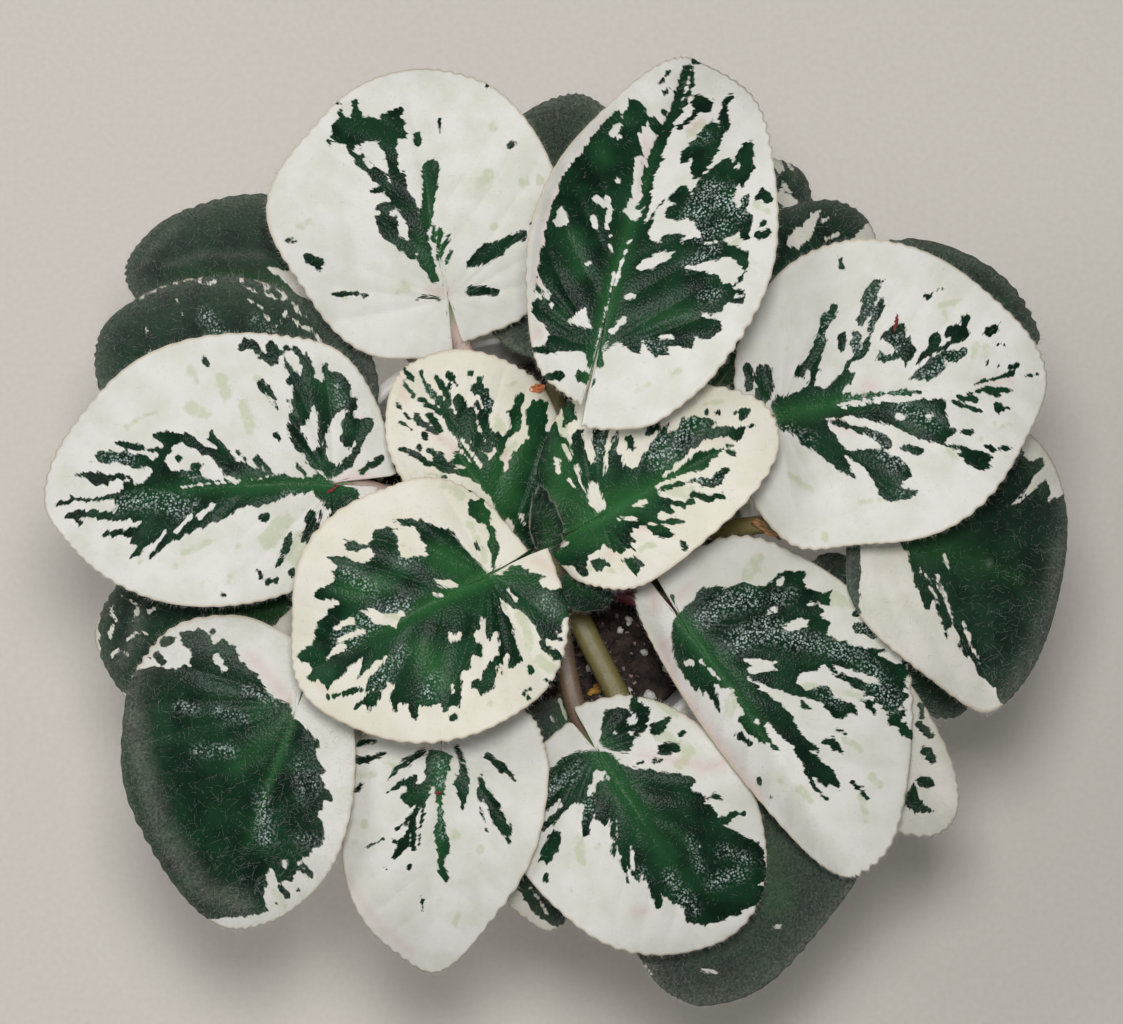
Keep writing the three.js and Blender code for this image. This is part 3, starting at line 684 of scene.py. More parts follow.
def grow_leaf(name, base, tip, root, skin, stalk_material, slot, half=(20, 20),
              widest=(0.35, 0.35), lobe=(10, 10), taper=(0.2, 0.2), lift=(0, 0), arch=4, bend=0,
              stalk=2.2, turn=0, dip=5, wave=1, waves=5, around=320, rings=64, quilt=0.4,
              notch_half=0.07, curl=(0, 0), swells=(), dust_sheen_shade_marks=(), painted_glint=(), patches=(), green=(),
              islands=(), white=(), pale=(), blush=(), glow=(), rib_width=2.2, fresh=1.0,
              dust_sheen_and_shade=0.0, margin_sheen=0.0, hairiness=9, hair_length=1.6, whole=False, seed=0):
    """Builds one leaf, blade and stalk, on the same curves as its solid, with its hairs.
    Pairs are left then right, seen from the base. The marks are strokes or outlines in the photo's pixels:
    green patches and strokes, islands and strokes of white in them, pale green spots, pink blush, fresh
    green glow, silvery beads that are painted highlights, and grey hairs that are partly painted sheen and,
    on a folded strip, painted shade. whole is all green.
    swells give x, y, growth in mm and spread in pixels of a place where the margin bulges."""
    draw = np.random.default_rng(seed + 100)
    base = np.array(base, float)
    along = np.array(tip, float) - base
    length = np.linalg.norm(along)
    along /= length
    left = np.cross(UP, along)
    left /= np.linalg.norm(left)
    out = np.cross(along, left)
    middle = (widest[0] + widest[1]) / 2 * length

    def outline(angle):
        """The margin as along and across, at an angle round it from the tip by the left side."""
        to_tip = np.cos(angle)
        sideways = np.sin(angle)
        right = sideways < 0
        mid = np.where(right, widest[1], widest[0]) * length
        wide = np.where(right, half[1], half[0])
        back = np.where(right, lobe[1], lobe[0])
        narrow = np.where(right, taper[1], taper[0])
        notch = back * smooth_step(1 - np.arccos(np.clip(-to_tip, -1, 1)) / notch_half)
        front = to_tip >= 0
        far = np.where(front, mid + (length - mid) * to_tip, mid + (mid + back) * to_tip + notch)
        side_front = wide * sideways * (1 - narrow * to_tip ** 2)
        fullness = LOBE_FULLNESS + LOBE_END_FULLNESS * smooth_step((-to_tip - 0.9) / 0.1)
        side_back = wide * np.sign(sideways) * np.abs(sideways) ** fullness
        return far, np.where(front, side_front, side_back)

    def surface(angle, reach, relief=1.0):
        """Places on the blade's middle surface, with their places along and across it."""
        far, side = outline(angle)
        forward = middle + (far - middle) * reach
        sideways = side * reach
        share = forward / length
        bow = np.where(share > 0, 4 * share * (1 - share), 2 * share)
        right = sideways < 0
        rise = np.where(right, lift[1], lift[0])
        wide = np.where(right, half[1], half[0])
        height = arch * bow + rise * (sideways / wide) ** 2
        height = height + wave * reach ** 3 * np.sin(waves * angle)
        phase, vein_along = vein_place(forward, sideways)
        puff = np.abs(np.sin(math.pi * phase)) ** 0.8 - 0.6
        spread_out = smooth_step(np.abs(sideways) / QUILT_START) * (1 - 0.7 * reach ** 6)
        height = height + relief * quilt * puff * spread_out
        groove = np.exp(-(sideways / GROOVE_HALF) ** 2) * smooth_step(share * 3 + 0.4)
        height = height - relief * GROOVE_DEPTH * groove * (1 - reach ** 8)
        rolled = smooth_step((reach - ROLL_START) / ROLL_WIDTH) * np.where(right, curl[1], curl[0])
        height = height + rolled
        sideways = sideways * (1 - 0.03 * np.abs(rolled))
        points = base + np.multiply.outer(forward, along) + np.multiply.outer(
            sideways + bend * bow, left) + np.multiply.outer(height, out)
        return points, forward, sideways, phase, vein_along

    def vein_place(forward, sideways):
        """The count of side veins from the base to a place, and the distance along them in mm.
        They leave the midrib at an angle, curve to the tip and fan out round the base."""
        away = np.abs(sideways)
        across = forward - away / math.tan(VEIN_ANGLE) - VEIN_CURVE * away ** 2
        distance = np.hypot(forward, sideways) + 0.01
        fan = LOBE_FAN * across / distance
        phase = np.where(across > 0, across, fan) / VEIN_SPACING
        return phase, distance

    # The margin, with its scallops, and the net of rings inside it.
    angles = 2 * math.pi * np.arange(around) / around
    perimeter = math.pi * (half[0] + half[1] + length) / 2
    teeth = max(8, round(perimeter * 1.6 / TOOTH_PITCH))
    drift = [draw.uniform(0, 2 * math.pi) for k in range(8)]
    uneven = sum(np.sin(k * angles + drift[k]) for k in range(3, 7)) * UNEVEN
    uneven = uneven * smooth_step(np.abs(angles - math.pi) / 0.7)
    strong = 0.5 + 0.3 * np.sin(5 * angles + drift[0]) + 0.2 * np.sin(11 * angles + drift[1])
    scallop = 0.5 - 0.5 * np.cos(teeth * angles + 1.2 * np.sin(4 * angles + drift[2]))
    tooth = 1 + uneven - TOOTH_DEPTH / np.mean(half) * strong * scallop
    plain_rim = surface(angles, np.ones(around), 0.0)
    rim_pixels = photo_place(plain_rim[0])
    rim_radius = np.hypot(plain_rim[1] - middle, plain_rim[2])
    for x, y, growth, spread in swells:
        away = np.linalg.norm(rim_pixels - (x, y), axis=1)
        tooth = tooth + growth / rim_radius * np.exp(-(away / spread) ** 2)
    net_angle = [np.zeros(1)]
    net_reach = [np.zeros(1)]
    levels = np.linspace(0, 1, rings + 1)[1:] ** 0.85
    for reach in levels:
        net_angle.append(angles)
        net_reach.append(reach * (1 + (tooth - 1) * reach ** 4))
    net_angle = np.concatenate(net_angle)
    net_reach = np.concatenate(net_reach)
    # How far inside the green each point lies. The white parts are thicker, and less quilted.
    pixels = photo_place(surface(net_angle, net_reach, 0.0)[0])
    field = np.full(len(pixels), ALL_GREEN)
    if not whole:
        field = np.maximum(patch_field(pixels, patches), stroke_field(pixels, green))
    field = np.minimum(field, -patch_field(pixels, islands))
    field = np.minimum(field, -stroke_field(pixels, white))
    leafy = np.clip(field / 2 + 0.5, 0, 1)
    net, forward, sideways, phase, vein_along = surface(
        net_angle, net_reach, WHITE_QUILT + (1 - WHITE_QUILT) * leafy)

    def at(ring, i):
        return 1 + ring * around + i % around

    # The blade: the net thickened to both sides, and thinner at its margin.
    sheet = [(0, at(0, i), at(0, i + 1)) for i in range(around)]
    for ring in range(1, rings):
        sheet += [(at(ring - 1, i), at(ring, i), at(ring, i + 1), at(ring - 1, i + 1))
                  for i in range(around)]
    probe = bpy.data.meshes.new("probe")
    probe.from_pydata(net.tolist(), [], sheet)
    normals = np.zeros(len(net) * 3)
    probe.vertices.foreach_get("normal", normals)
    normals = normals.reshape(-1, 3)
    bpy.data.meshes.remove(probe)
    thick = BLADE_THICKNESS / 2 * np.sqrt(1 - 0.9 * np.clip(net_reach, 0, 1) ** 14)
    points = np.concatenate([net + normals * thick[:, None], net - normals * thick[:, None]])
    count = len(net)
    faces = list(sheet) + [tuple(i + count for i in reversed(face)) for face in sheet]
    last = rings - 1
    faces += [(at(last, i), at(last, i) + count, at(last, i + 1) + count, at(last, i + 1))
              for i in range(around)]
    blade_faces = len(faces)

    # The stalk: from the crown up to the notch, and on under the blade as its keel.
    keel = surface(np.full(len(KEEL_REACHES), math.pi), np.array(KEEL_REACHES), 0.0)[0]
    keel = keel - np.multiply.outer(
        KEEL_SINK + stalk * (0.18 + KEEL_THINNING * np.array(KEEL_REACHES)), out)
    joint = keel[0]
    aim_angle = math.atan2(joint[1] - CROWN_Y, joint[0] - CROWN_X) + math.radians(turn)
    outward = np.array([math.cos(aim_angle), math.sin(aim_angle), 0])
    start = np.array([CROWN_X, CROWN_Y, root]) + outward * (CROWN_TOP_RADIUS - STALK_ROOT_DEPTH)
    gap = np.linalg.norm(joint - start)
    flat = along * (1, 1, 0)
    flat /= np.linalg.norm(flat)
    leave = start + outward * gap * STALK_OUTWARD
    arrive = joint - flat * gap * STALK_ARRIVAL - UP * dip
    t = np.linspace(0, 1, STALK_STEPS + 1)[:-1, None]
    curve = ((1 - t) ** 3 * start + 3 * (1 - t) ** 2 * t * leave + 3 * (1 - t) * t ** 2 * arrive
             + t ** 3 * joint)
    path = np.concatenate([curve, keel])
    keel_radii = stalk * np.interp(KEEL_REACHES, *KEEL_TAPER)
    radii = np.concatenate([np.full(STALK_STEPS, stalk), keel_radii])
    heading = np.gradient(path, axis=0)
    heading /= np.linalg.norm(heading, axis=1, keepdims=True)
    across = np.cross(outward, UP)
    side = across - heading * (heading @ across)[:, None]
    side /= np.linalg.norm(side, axis=1, keepdims=True)
    top = np.cross(side, heading)
    tube = []
    turn_round = 2 * math.pi * np.arange(STALK_SIDES) / STALK_SIDES
    for angle in turn_round:
        hollow = 1 - STALK_GROOVE * math.exp(-((angle - math.pi / 2) / 0.5) ** 2)
        tube.append(path + radii[:, None] * (side * math.cos(angle) * 1.04
                                             + top * math.sin(angle) * hollow * 0.94))
    tube = np.stack(tube, 1).reshape(-1, 3)
    steps = len(path)
    first = len(points)

    def on(i, k):
        return first + i * STALK_SIDES + k % STALK_SIDES

    faces += [(on(i, k), on(i + 1, k), on(i + 1, k + 1), on(i, k + 1))
              for i in range(steps - 1) for k in range(STALK_SIDES)]
    faces.append(tuple(on(0, k) for k in range(STALK_SIDES)))
    faces.append(tuple(on(steps - 1, k) for k in reversed(range(STALK_SIDES))))
    points = np.concatenate([points, tube])
    indices = [0] * blade_faces + [1] * (len(faces) - blade_faces)
    leaf = new_piece(name, points, faces, [skin, stalk_material], indices)

    # What the skin's material reads at each point.
    nominal = np.concatenate([np.zeros(1), np.repeat(levels, around)])
    margin_mm = (1 - nominal) * np.hypot(forward - middle, sideways) / np.maximum(nominal, 0.05)
    rib = np.exp(-(sideways / rib_width) ** 2) * smooth_step(1.05 - 1.15 * forward / length)
    rib = np.maximum(rib * 0.75, soft_strokes(pixels, glow, 6, 0.4, 0.5))
    paler = np.clip(stroke_field(pixels, pale) / 1.2 + 0.5, 0, 1)
    pad = len(tube)
    tube_share = np.repeat(np.arange(steps) / STALK_STEPS, STALK_SIDES)
    # Painted shade: darker along the stalk's left and right sides, lighter on top and below.
    painted_flank_shade = np.tile(np.abs(np.cos(turn_round)) ** 3, steps) * 0.6

    def store(label, values, tube_values):
        """Keeps a value at each point: upper face, lower face and stalk."""
        joined = np.concatenate([values, values, tube_values]).astype(np.float32)
        kind = "FLOAT" if joined.ndim == 1 else "FLOAT_VECTOR"
        layer = leaf.data.attributes.new(label, kind, "POINT")
        layer.data.foreach_set("value" if joined.ndim == 1 else "vector", joined.ravel())

    store("marking", np.clip(field, -8, 8), np.full(pad, 8.0))
    seeds = np.full(count, 37.0 * seed)
    store("vein_place", np.stack([phase * VEIN_SPACING, vein_along, seeds], 1),
          np.zeros((pad, 3)))
    store("blade_place", np.stack([forward + 60 * seed, sideways, seeds], 1), tube)
    # On the stalk, the margin value holds the painted shade of its sides.
    store("margin", margin_mm, painted_flank_shade)
    store("rib", rib * fresh, smooth_step((tube_share - 0.85) / 0.15) * fresh)
    store("blush", soft_strokes(pixels, blush, 4, 0.4, 0.4), np.zeros(pad))
    store("pale_green", paler, np.zeros(pad))
    # Painted highlight: where the domed cells are coloured silvery as glints.
    store("painted_glint", soft_strokes(pixels, painted_glint, 3.5, 0.45), np.zeros(pad))
    # Grey hair tint with painted sheen along the margin and in strokes. The strokes on a folded strip are
    # painted shade.
    dust_sheen_shade_amount = np.maximum(dust_sheen_and_shade + margin_sheen * np.exp(-margin_mm / 3),
                        soft_strokes(pixels, dust_sheen_shade_marks, 6, 0.45, 0.45))
    store("dust_sheen_and_shade", dust_sheen_shade_amount, np.zeros(pad))
    under = leaf.data.attributes.new("under", "FLOAT", "POINT")
    under.data.foreach_set("value", np.concatenate([np.zeros(count), np.ones(count),
                                                    np.zeros(pad)]).astype(np.float32))

    # Hairs: out from the margin, up from the blade, and round the stalk.
    rim = net[-around:]
    rim_out = rim - net[0]
    rim_out -= out * (rim_out @ out)[:, None]
    rim_out /= np.linalg.norm(rim_out, axis=1, keepdims=True)
    picks = draw.integers(0, around, int(perimeter * RIM_HAIRS_PER_MM))
    blend = draw.uniform(0, 1, (len(picks), 1))
    rim_roots = rim[picks] * (1 - blend) + rim[(picks + 1) % around] * blend
    lean = draw.normal(0, 0.35, (len(picks), 3))
    rim_ends = rim_roots + (rim_out[picks] + out * draw.uniform(-0.5, 0.7, (len(picks), 1)) + lean
                            ) * draw.uniform(0.5, 1.3, (len(picks), 1))
    hair_count = int(perimeter * hairiness)
    ring_picks = np.searchsorted(levels, np.sqrt(draw.uniform(0, 0.97, hair_count)))
    picks = 1 + ring_picks * around + draw.integers(0, around, hair_count)
    top_roots = net[picks] + normals[picks] * thick[picks, None] * 0.9
    top_ends = top_roots + (normals[picks] * 0.7 + draw.normal(0, 0.5, (hair_count, 3))
                            ) * draw.uniform(0.8, hair_length, (hair_count, 1))
    picks = draw.integers(0, pad - len(KEEL_REACHES) * STALK_SIDES, int(gap * STALK_HAIRS_PER_MM))
    centre = np.repeat(path, STALK_SIDES, 0)[picks]
    stalk_out = tube[picks] - centre
    stalk_out /= np.linalg.norm(stalk_out, axis=1, keepdims=True)
    stalk_ends = tube[picks] + (stalk_out + draw.normal(0, 0.3, (len(picks), 3))
                                ) * draw.uniform(0.6, 1.5, (len(picks), 1))
    hair_roots = np.concatenate([rim_roots, top_roots, tube[picks]])
    hair_ends = np.concatenate([rim_ends, top_ends, stalk_ends])
    hairs = new_piece(name + "_hairs", *spike_mesh(hair_roots, hair_ends, HAIR_RADIUS), [HAIR])
    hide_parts(name)
    for piece in (leaf, hairs):
        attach(piece, "root")


# In the leaves below, the bead strokes are painted highlights. The grey hair strokes are hair tint with
# painted sheen, and on one folded strip they are painted shade.
# --- Centre leaves -------------------------------------------------------------------------------
# The youngest full-sized leaves, tilted up round the crown: cream, with a bright green heart that
# breaks into fingers towards the margin.
CENTRE = dict(skin=CREAM_SKIN, stalk_material=PINK_STALK, slot="leaf_cream_green", stalk=2,
              notch_half=0.03)
grow_leaf(
    "leaf_centre_east", (15, 4, 110), (53, 24, 115), 101, half=(24.5, 17.5), widest=(0.15, 0.08),
    lobe=(11, 13), lift=(-2, 1), arch=2.5, seed=1, **CENTRE,
    painted_glint=[(15, 13, 688, 424, 672, 442, 656, 456), (7, 5, 698, 480, 716, 478), (4, 4, 656, 404),
     (5, 5, 600, 440, 600, 456)],
    patches=[(546, 425, 556, 422, 560, 430, 566, 440, 572, 446, 575, 432, 578, 428, 584, 431, 585, 445,
     590, 458, 592, 465, 596, 462, 593, 450, 592, 440, 595, 428, 606, 426, 612, 424, 608, 438, 606, 450,
     604, 470, 606, 476, 608, 462, 610, 448, 614, 436, 620, 428, 618, 442, 615, 450, 622, 455, 625, 466,
     632, 468, 638, 466, 645, 455, 650, 450, 653, 455, 660, 440, 668, 435, 677, 430, 683, 420, 690, 417,
     708, 418, 716, 422, 712, 428, 718, 432, 705, 440, 698, 447, 690, 450, 683, 458, 672, 468, 660, 474,
     668, 479, 655, 486, 658, 490, 662, 497, 675, 500, 670, 507, 674, 512, 668, 517, 682, 519, 676, 527,
     665, 524, 650, 524, 640, 526, 633, 530, 632, 536, 638, 542, 630, 543, 636, 550, 628, 548, 622, 554,
     612, 551, 606, 545, 600, 549, 590, 556, 586, 562, 590, 575, 584, 577, 574, 568, 560, 564, 545, 552,
     532, 535, 536, 520, 545, 512, 541, 500, 530, 495, 530, 450),
     (563, 402, 570, 400, 576, 405, 576, 420, 570, 428, 563, 427), (757, 424, 745, 430, 742, 436, 737, 442,
     728, 436, 718, 438, 708, 440, 705, 436, 712, 430, 722, 425, 735, 428, 748, 425), (725, 447, 722, 452,
     712, 460, 708, 466, 702, 472, 690, 472, 680, 476, 668, 480, 655, 487, 650, 480, 662, 477, 675, 471,
     685, 463, 695, 453, 708, 450), (729, 469, 728, 474, 723, 478, 722, 486, 712, 489, 703, 488, 695, 483,
     700, 479, 712, 477, 718, 471, 724, 467), (648, 525, 660, 524, 670, 530, 676, 534, 670, 538, 662, 538,
     654, 535), (622, 560, 632, 556, 640, 560, 645, 565, 640, 570, 638, 576, 632, 572, 628, 566),
     (592, 562, 600, 557, 612, 565, 606, 568, 596, 573)],
    green=[(7, 5, 654, 426, 650, 432), (4, 4, 630, 440, 632, 447), (1.5, 8, 671, 422, 660, 440, 650, 460),
     (3, 3, 707, 413), (3, 3, 717, 413), (2.5, 3, 735, 413, 750, 410, 742, 418), (2, 2, 727, 445, 732, 446),
     (3, 3, 727, 452, 733, 454), (3, 3, 722, 496, 710, 500, 693, 494), (3, 3, 693, 502, 685, 505, 676, 504),
     (2, 2, 695, 481, 662, 488), (3, 2, 678, 522, 684, 522), (3, 3, 683, 544, 687, 548), (3, 3, 657, 404)],
    islands=[(590, 483, 596, 482, 600, 490, 606, 505, 604, 510, 598, 512, 590, 505, 588, 492),
     (567, 425, 578, 420, 576, 432, 572, 440, 565, 436)],
    white=[(3, 3, 566, 447, 571, 457), (3, 2, 557, 460, 559, 472), (2, 1, 577, 465, 582, 485, 590, 500),
     (4, 3, 663, 516, 667, 517), (1.5, 1.5, 620, 520, 640, 518), (1.5, 1, 570, 480, 575, 487),
     (2, 3, 636, 505, 645, 503), (1.5, 3, 553, 545, 566, 543)],
    pale=[(8, 8, 672, 488, 688, 492), (4, 3, 640, 548, 655, 545), (4, 4, 612, 571), (4, 4, 590, 568),
     (3, 2, 705, 405, 725, 402), (8, 6, 560, 410, 566, 450)],
    blush=[(4, 4, 640, 530, 652, 526), (3, 3, 705, 440, 725, 436), (4, 3, 655, 450, 668, 425),
     (5, 5, 620, 540, 610, 555)],
    glow=[(26, 14, 585, 512, 640, 497), (18, 10, 560, 500, 560, 450), (16, 12, 575, 535, 600, 540)])
grow_leaf(
    "leaf_centre_north", (-5, -1, 104), (-26, 38, 108), 97, half=(14, 23), widest=(0.55, 0.6), lobe=(3, 5),
    lift=(1, -4), arch=2, turn=-10, seed=2, **CENTRE,
    painted_glint=[(5, 5, 488, 398, 486, 406), (4, 4, 455, 440, 462, 446), (4, 3, 425, 388, 432, 398)],
    patches=[(489, 575, 495, 545, 496, 505, 488, 495, 478, 484, 468, 478, 455, 475, 440, 471, 430, 467,
     434, 455, 440, 452, 446, 455, 444, 460, 450, 462, 455, 458, 452, 453, 460, 452, 468, 458, 470, 462,
     480, 463, 485, 458, 490, 458, 498, 452, 492, 445, 490, 432, 496, 432, 503, 438, 508, 430, 510, 420,
     508, 412, 514, 405, 514, 397, 519, 393, 524, 394, 524, 403, 520, 408, 522, 418, 520, 430, 513, 435,
     508, 438, 505, 445, 503, 452, 500, 458, 504, 464, 505, 476, 508, 466, 511, 456, 520, 446, 528, 438,
     527, 425, 525, 410, 533, 400, 540, 399, 548, 403, 545, 410, 548, 420, 545, 430, 562, 440, 562, 452,
     558, 465, 556, 490, 552, 520, 540, 545, 520, 565, 503, 572), (477, 376, 482, 378, 483, 388, 489, 389,
     491, 400, 494, 402, 492, 412, 488, 415, 490, 428, 494, 440, 492, 455, 486, 450, 484, 440, 480, 430,
     476, 420, 478, 412, 474, 405, 476, 398, 470, 390, 472, 386, 476, 384)],
    green=[(7, 3, 460, 402, 462, 415, 470, 425, 478, 436, 485, 449),
     (1.5, 5, 421, 373, 426, 385, 433, 395, 440, 401), (4, 6, 440, 400, 445, 410, 450, 420, 458, 432),
     (5, 8, 458, 432, 466, 445, 475, 455, 485, 466), (3, 4, 437, 378, 442, 388, 447, 395, 448, 405),
     (2, 1.5, 447, 390, 451, 385), (4, 1, 450, 375, 453, 380, 457, 386),
     (3, 4, 420, 400, 430, 406, 441, 412), (3.5, 3, 471, 374), (1.5, 2, 402, 368, 408, 375, 413, 382),
     (2, 2, 404, 382, 409, 390, 414, 396), (1.5, 2, 397, 403, 401, 409), (1.5, 1.5, 405, 413, 409, 418),
     (3, 4, 416, 416, 420, 422, 428, 427, 437, 432), (4, 4, 430, 416, 435, 424, 438, 430), (4, 3, 425, 437),
     (2, 1.5, 401, 422, 407, 426, 412, 430), (2, 2, 419, 447, 421, 450), (2.5, 3, 428, 450, 434, 455),
     (2, 4, 401, 450, 410, 453, 420, 458, 430, 465), (1.5, 1.5, 425, 480, 435, 481, 445, 478),
     (4, 2, 545, 377, 558, 378), (7, 6, 455, 420, 470, 432, 480, 445), (5, 5, 450, 413, 457, 425),
     (5, 5, 470, 412, 472, 425)],
    islands=[(504, 518, 509, 516, 513, 525, 512, 536, 508, 537, 505, 528)],
    white=[(1.5, 1, 478, 398, 482, 408), (1.5, 1.5, 456, 467, 463, 468),
     (1.5, 1.5, 462, 440, 471, 453, 480, 466), (2, 1, 521, 515, 524, 525)],
    pale=[(6, 6, 497, 420, 500, 430), (3, 3, 425, 473, 440, 476), (4, 3, 440, 440),
     (3, 3, 508, 385, 516, 382), (3, 5, 515, 445, 505, 452)],
    blush=[(4, 5, 432, 432, 450, 445, 462, 452), (4, 4, 466, 425, 475, 437, 488, 450),
     (4, 4, 503, 450, 508, 465), (3, 3, 448, 458), (4, 4, 400, 372, 404, 400)],
    glow=[(20, 16, 506, 465, 506, 500), (13, 9, 500, 520, 498, 560), (8, 6, 520, 430, 520, 470)])
grow_leaf(
    "leaf_centre_west", (-9, -9, 113), (-50, -31, 110), 100, half=(30, 27.5), widest=(0.25, 0.28),
    lobe=(14, 10), lift=(1, 2), turn=10, seed=3, **CENTRE,
    painted_glint=[(12, 8, 345, 640, 380, 612, 405, 604), (8, 6, 378, 682, 402, 652), (6, 6, 345, 572, 372, 590),
     (7, 6, 428, 694, 436, 680), (7, 5, 545, 600, 552, 612), (5, 4, 398, 560, 415, 562)],
    patches=[(489, 575, 480, 565, 470, 555, 462, 545, 455, 535, 448, 528, 438, 528, 430, 524, 420, 520,
     405, 519, 391, 519, 400, 524, 405, 529, 392, 528, 384, 527, 378, 529, 372, 533, 373, 540, 368, 545,
     360, 545, 355, 540, 344, 540, 345, 547, 348, 552, 358, 550, 370, 548, 375, 555, 372, 560, 360, 562,
     352, 560, 345, 556, 335, 555, 327, 557, 333, 562, 338, 566, 332, 572, 335, 578, 333, 583, 325, 586,
     318, 590, 311, 597, 325, 600, 338, 600, 340, 606, 330, 607, 328, 615, 320, 620, 318, 627, 314, 630,
     316, 638, 310, 640, 312, 645, 302, 650, 298, 655, 302, 662, 310, 662, 313, 670, 308, 677, 312, 682,
     320, 680, 328, 690, 336, 682, 345, 673, 352, 665, 364, 656, 362, 668, 356, 680, 370, 668, 384, 656,
     389, 656, 380, 668, 368, 680, 366, 694, 376, 688, 383, 692, 388, 684, 394, 684, 393, 692, 390, 702,
     396, 712, 400, 703, 408, 705, 412, 718, 416, 722, 420, 715, 419, 706, 430, 707, 441, 704, 443, 712,
     448, 712, 452, 706, 460, 708, 462, 700, 461, 690, 462, 672, 470, 668, 473, 656, 482, 658, 482, 648,
     475, 640, 474, 635, 479, 630, 481, 618, 485, 619, 484, 632, 488, 642, 493, 633, 497, 632, 499, 645,
     497, 655, 490, 662, 484, 672, 480, 680, 472, 682, 471, 688, 478, 690, 482, 697, 492, 690, 495, 680,
     498, 665, 501, 679, 502, 660, 508, 655, 509, 668, 516, 672, 516, 665, 520, 664, 522, 660, 518, 650,
     514, 640, 513, 628, 510, 620, 500, 606, 500, 600, 503, 600, 512, 608, 520, 610, 530, 620, 536, 628,
     540, 640, 540, 650, 550, 656, 555, 662, 563, 660, 558, 650, 545, 645, 548, 640, 563, 641, 555, 630,
     560, 632, 565, 620, 578, 612, 575, 600, 568, 597, 560, 588, 552, 590, 540, 586, 536, 580, 545, 576,
     530, 571, 520, 565, 510, 567, 500, 575), (467, 505, 470, 498, 474, 503, 479, 500, 481, 496, 484, 498,
     484, 504, 489, 512, 490, 525, 496, 535, 500, 548, 497, 560, 494, 572, 491, 560, 489, 545, 487, 533,
     484, 526, 476, 521, 468, 515), (355, 708, 362, 699, 368, 692, 376, 688, 383, 690, 380, 700, 374, 708,
     370, 713, 367, 705)],
    green=[(3, 2, 328, 697), (2, 3, 334, 696, 345, 693, 360, 690), (3, 3, 452, 717, 456, 717),
     (2.5, 2, 524, 694, 528, 699), (3, 3, 529, 667, 531, 672), (2, 2, 530, 690), (2, 2, 544, 679, 551, 683),
     (1, 1, 417, 521, 437, 534), (1.5, 2, 475, 543, 478, 549), (2, 2, 470, 482, 470, 490)],
    islands=[(393, 530, 400, 529, 408, 526, 415, 528, 420, 538, 425, 545, 428, 557, 415, 558, 400, 557,
     398, 545), (434, 579, 440, 580, 455, 583, 460, 584, 452, 588, 440, 586),
     (448, 632, 453, 634, 459, 632, 460, 640, 452, 645, 447, 638), (360, 610, 373, 609, 380, 613, 392, 614,
     402, 611, 405, 615, 397, 622, 396, 628, 388, 624, 375, 624, 372, 618)],
    white=[(2.5, 3, 336, 629, 345, 623, 352, 621), (2, 3, 340, 640, 352, 634, 363, 631),
     (2.5, 3, 329, 657, 336, 650, 345, 646), (2, 2, 434, 594, 441, 595), (2.5, 1.5, 453, 687, 453, 692),
     (1.5, 1.5, 508, 590, 516, 600), (2, 2, 548, 641, 563, 647)],
    pale=[(6, 5, 520, 612, 527, 630, 530, 648), (6, 6, 540, 660, 550, 668), (4, 4, 490, 705),
     (6, 6, 445, 485, 460, 495), (5, 4, 470, 525, 485, 560), (4, 4, 505, 607), (3, 3, 402, 545),
     (4, 4, 388, 614, 395, 616)],
    blush=[(4, 4, 535, 560, 560, 575, 575, 600), (3, 3, 318, 683, 325, 690)],
    glow=[(16, 10, 440, 556, 470, 575), (14, 10, 355, 590, 380, 585), (15, 15, 420, 650, 445, 680),
     (10, 8, 500, 575, 540, 582), (8, 6, 545, 600), (8, 6, 482, 508, 494, 560)])

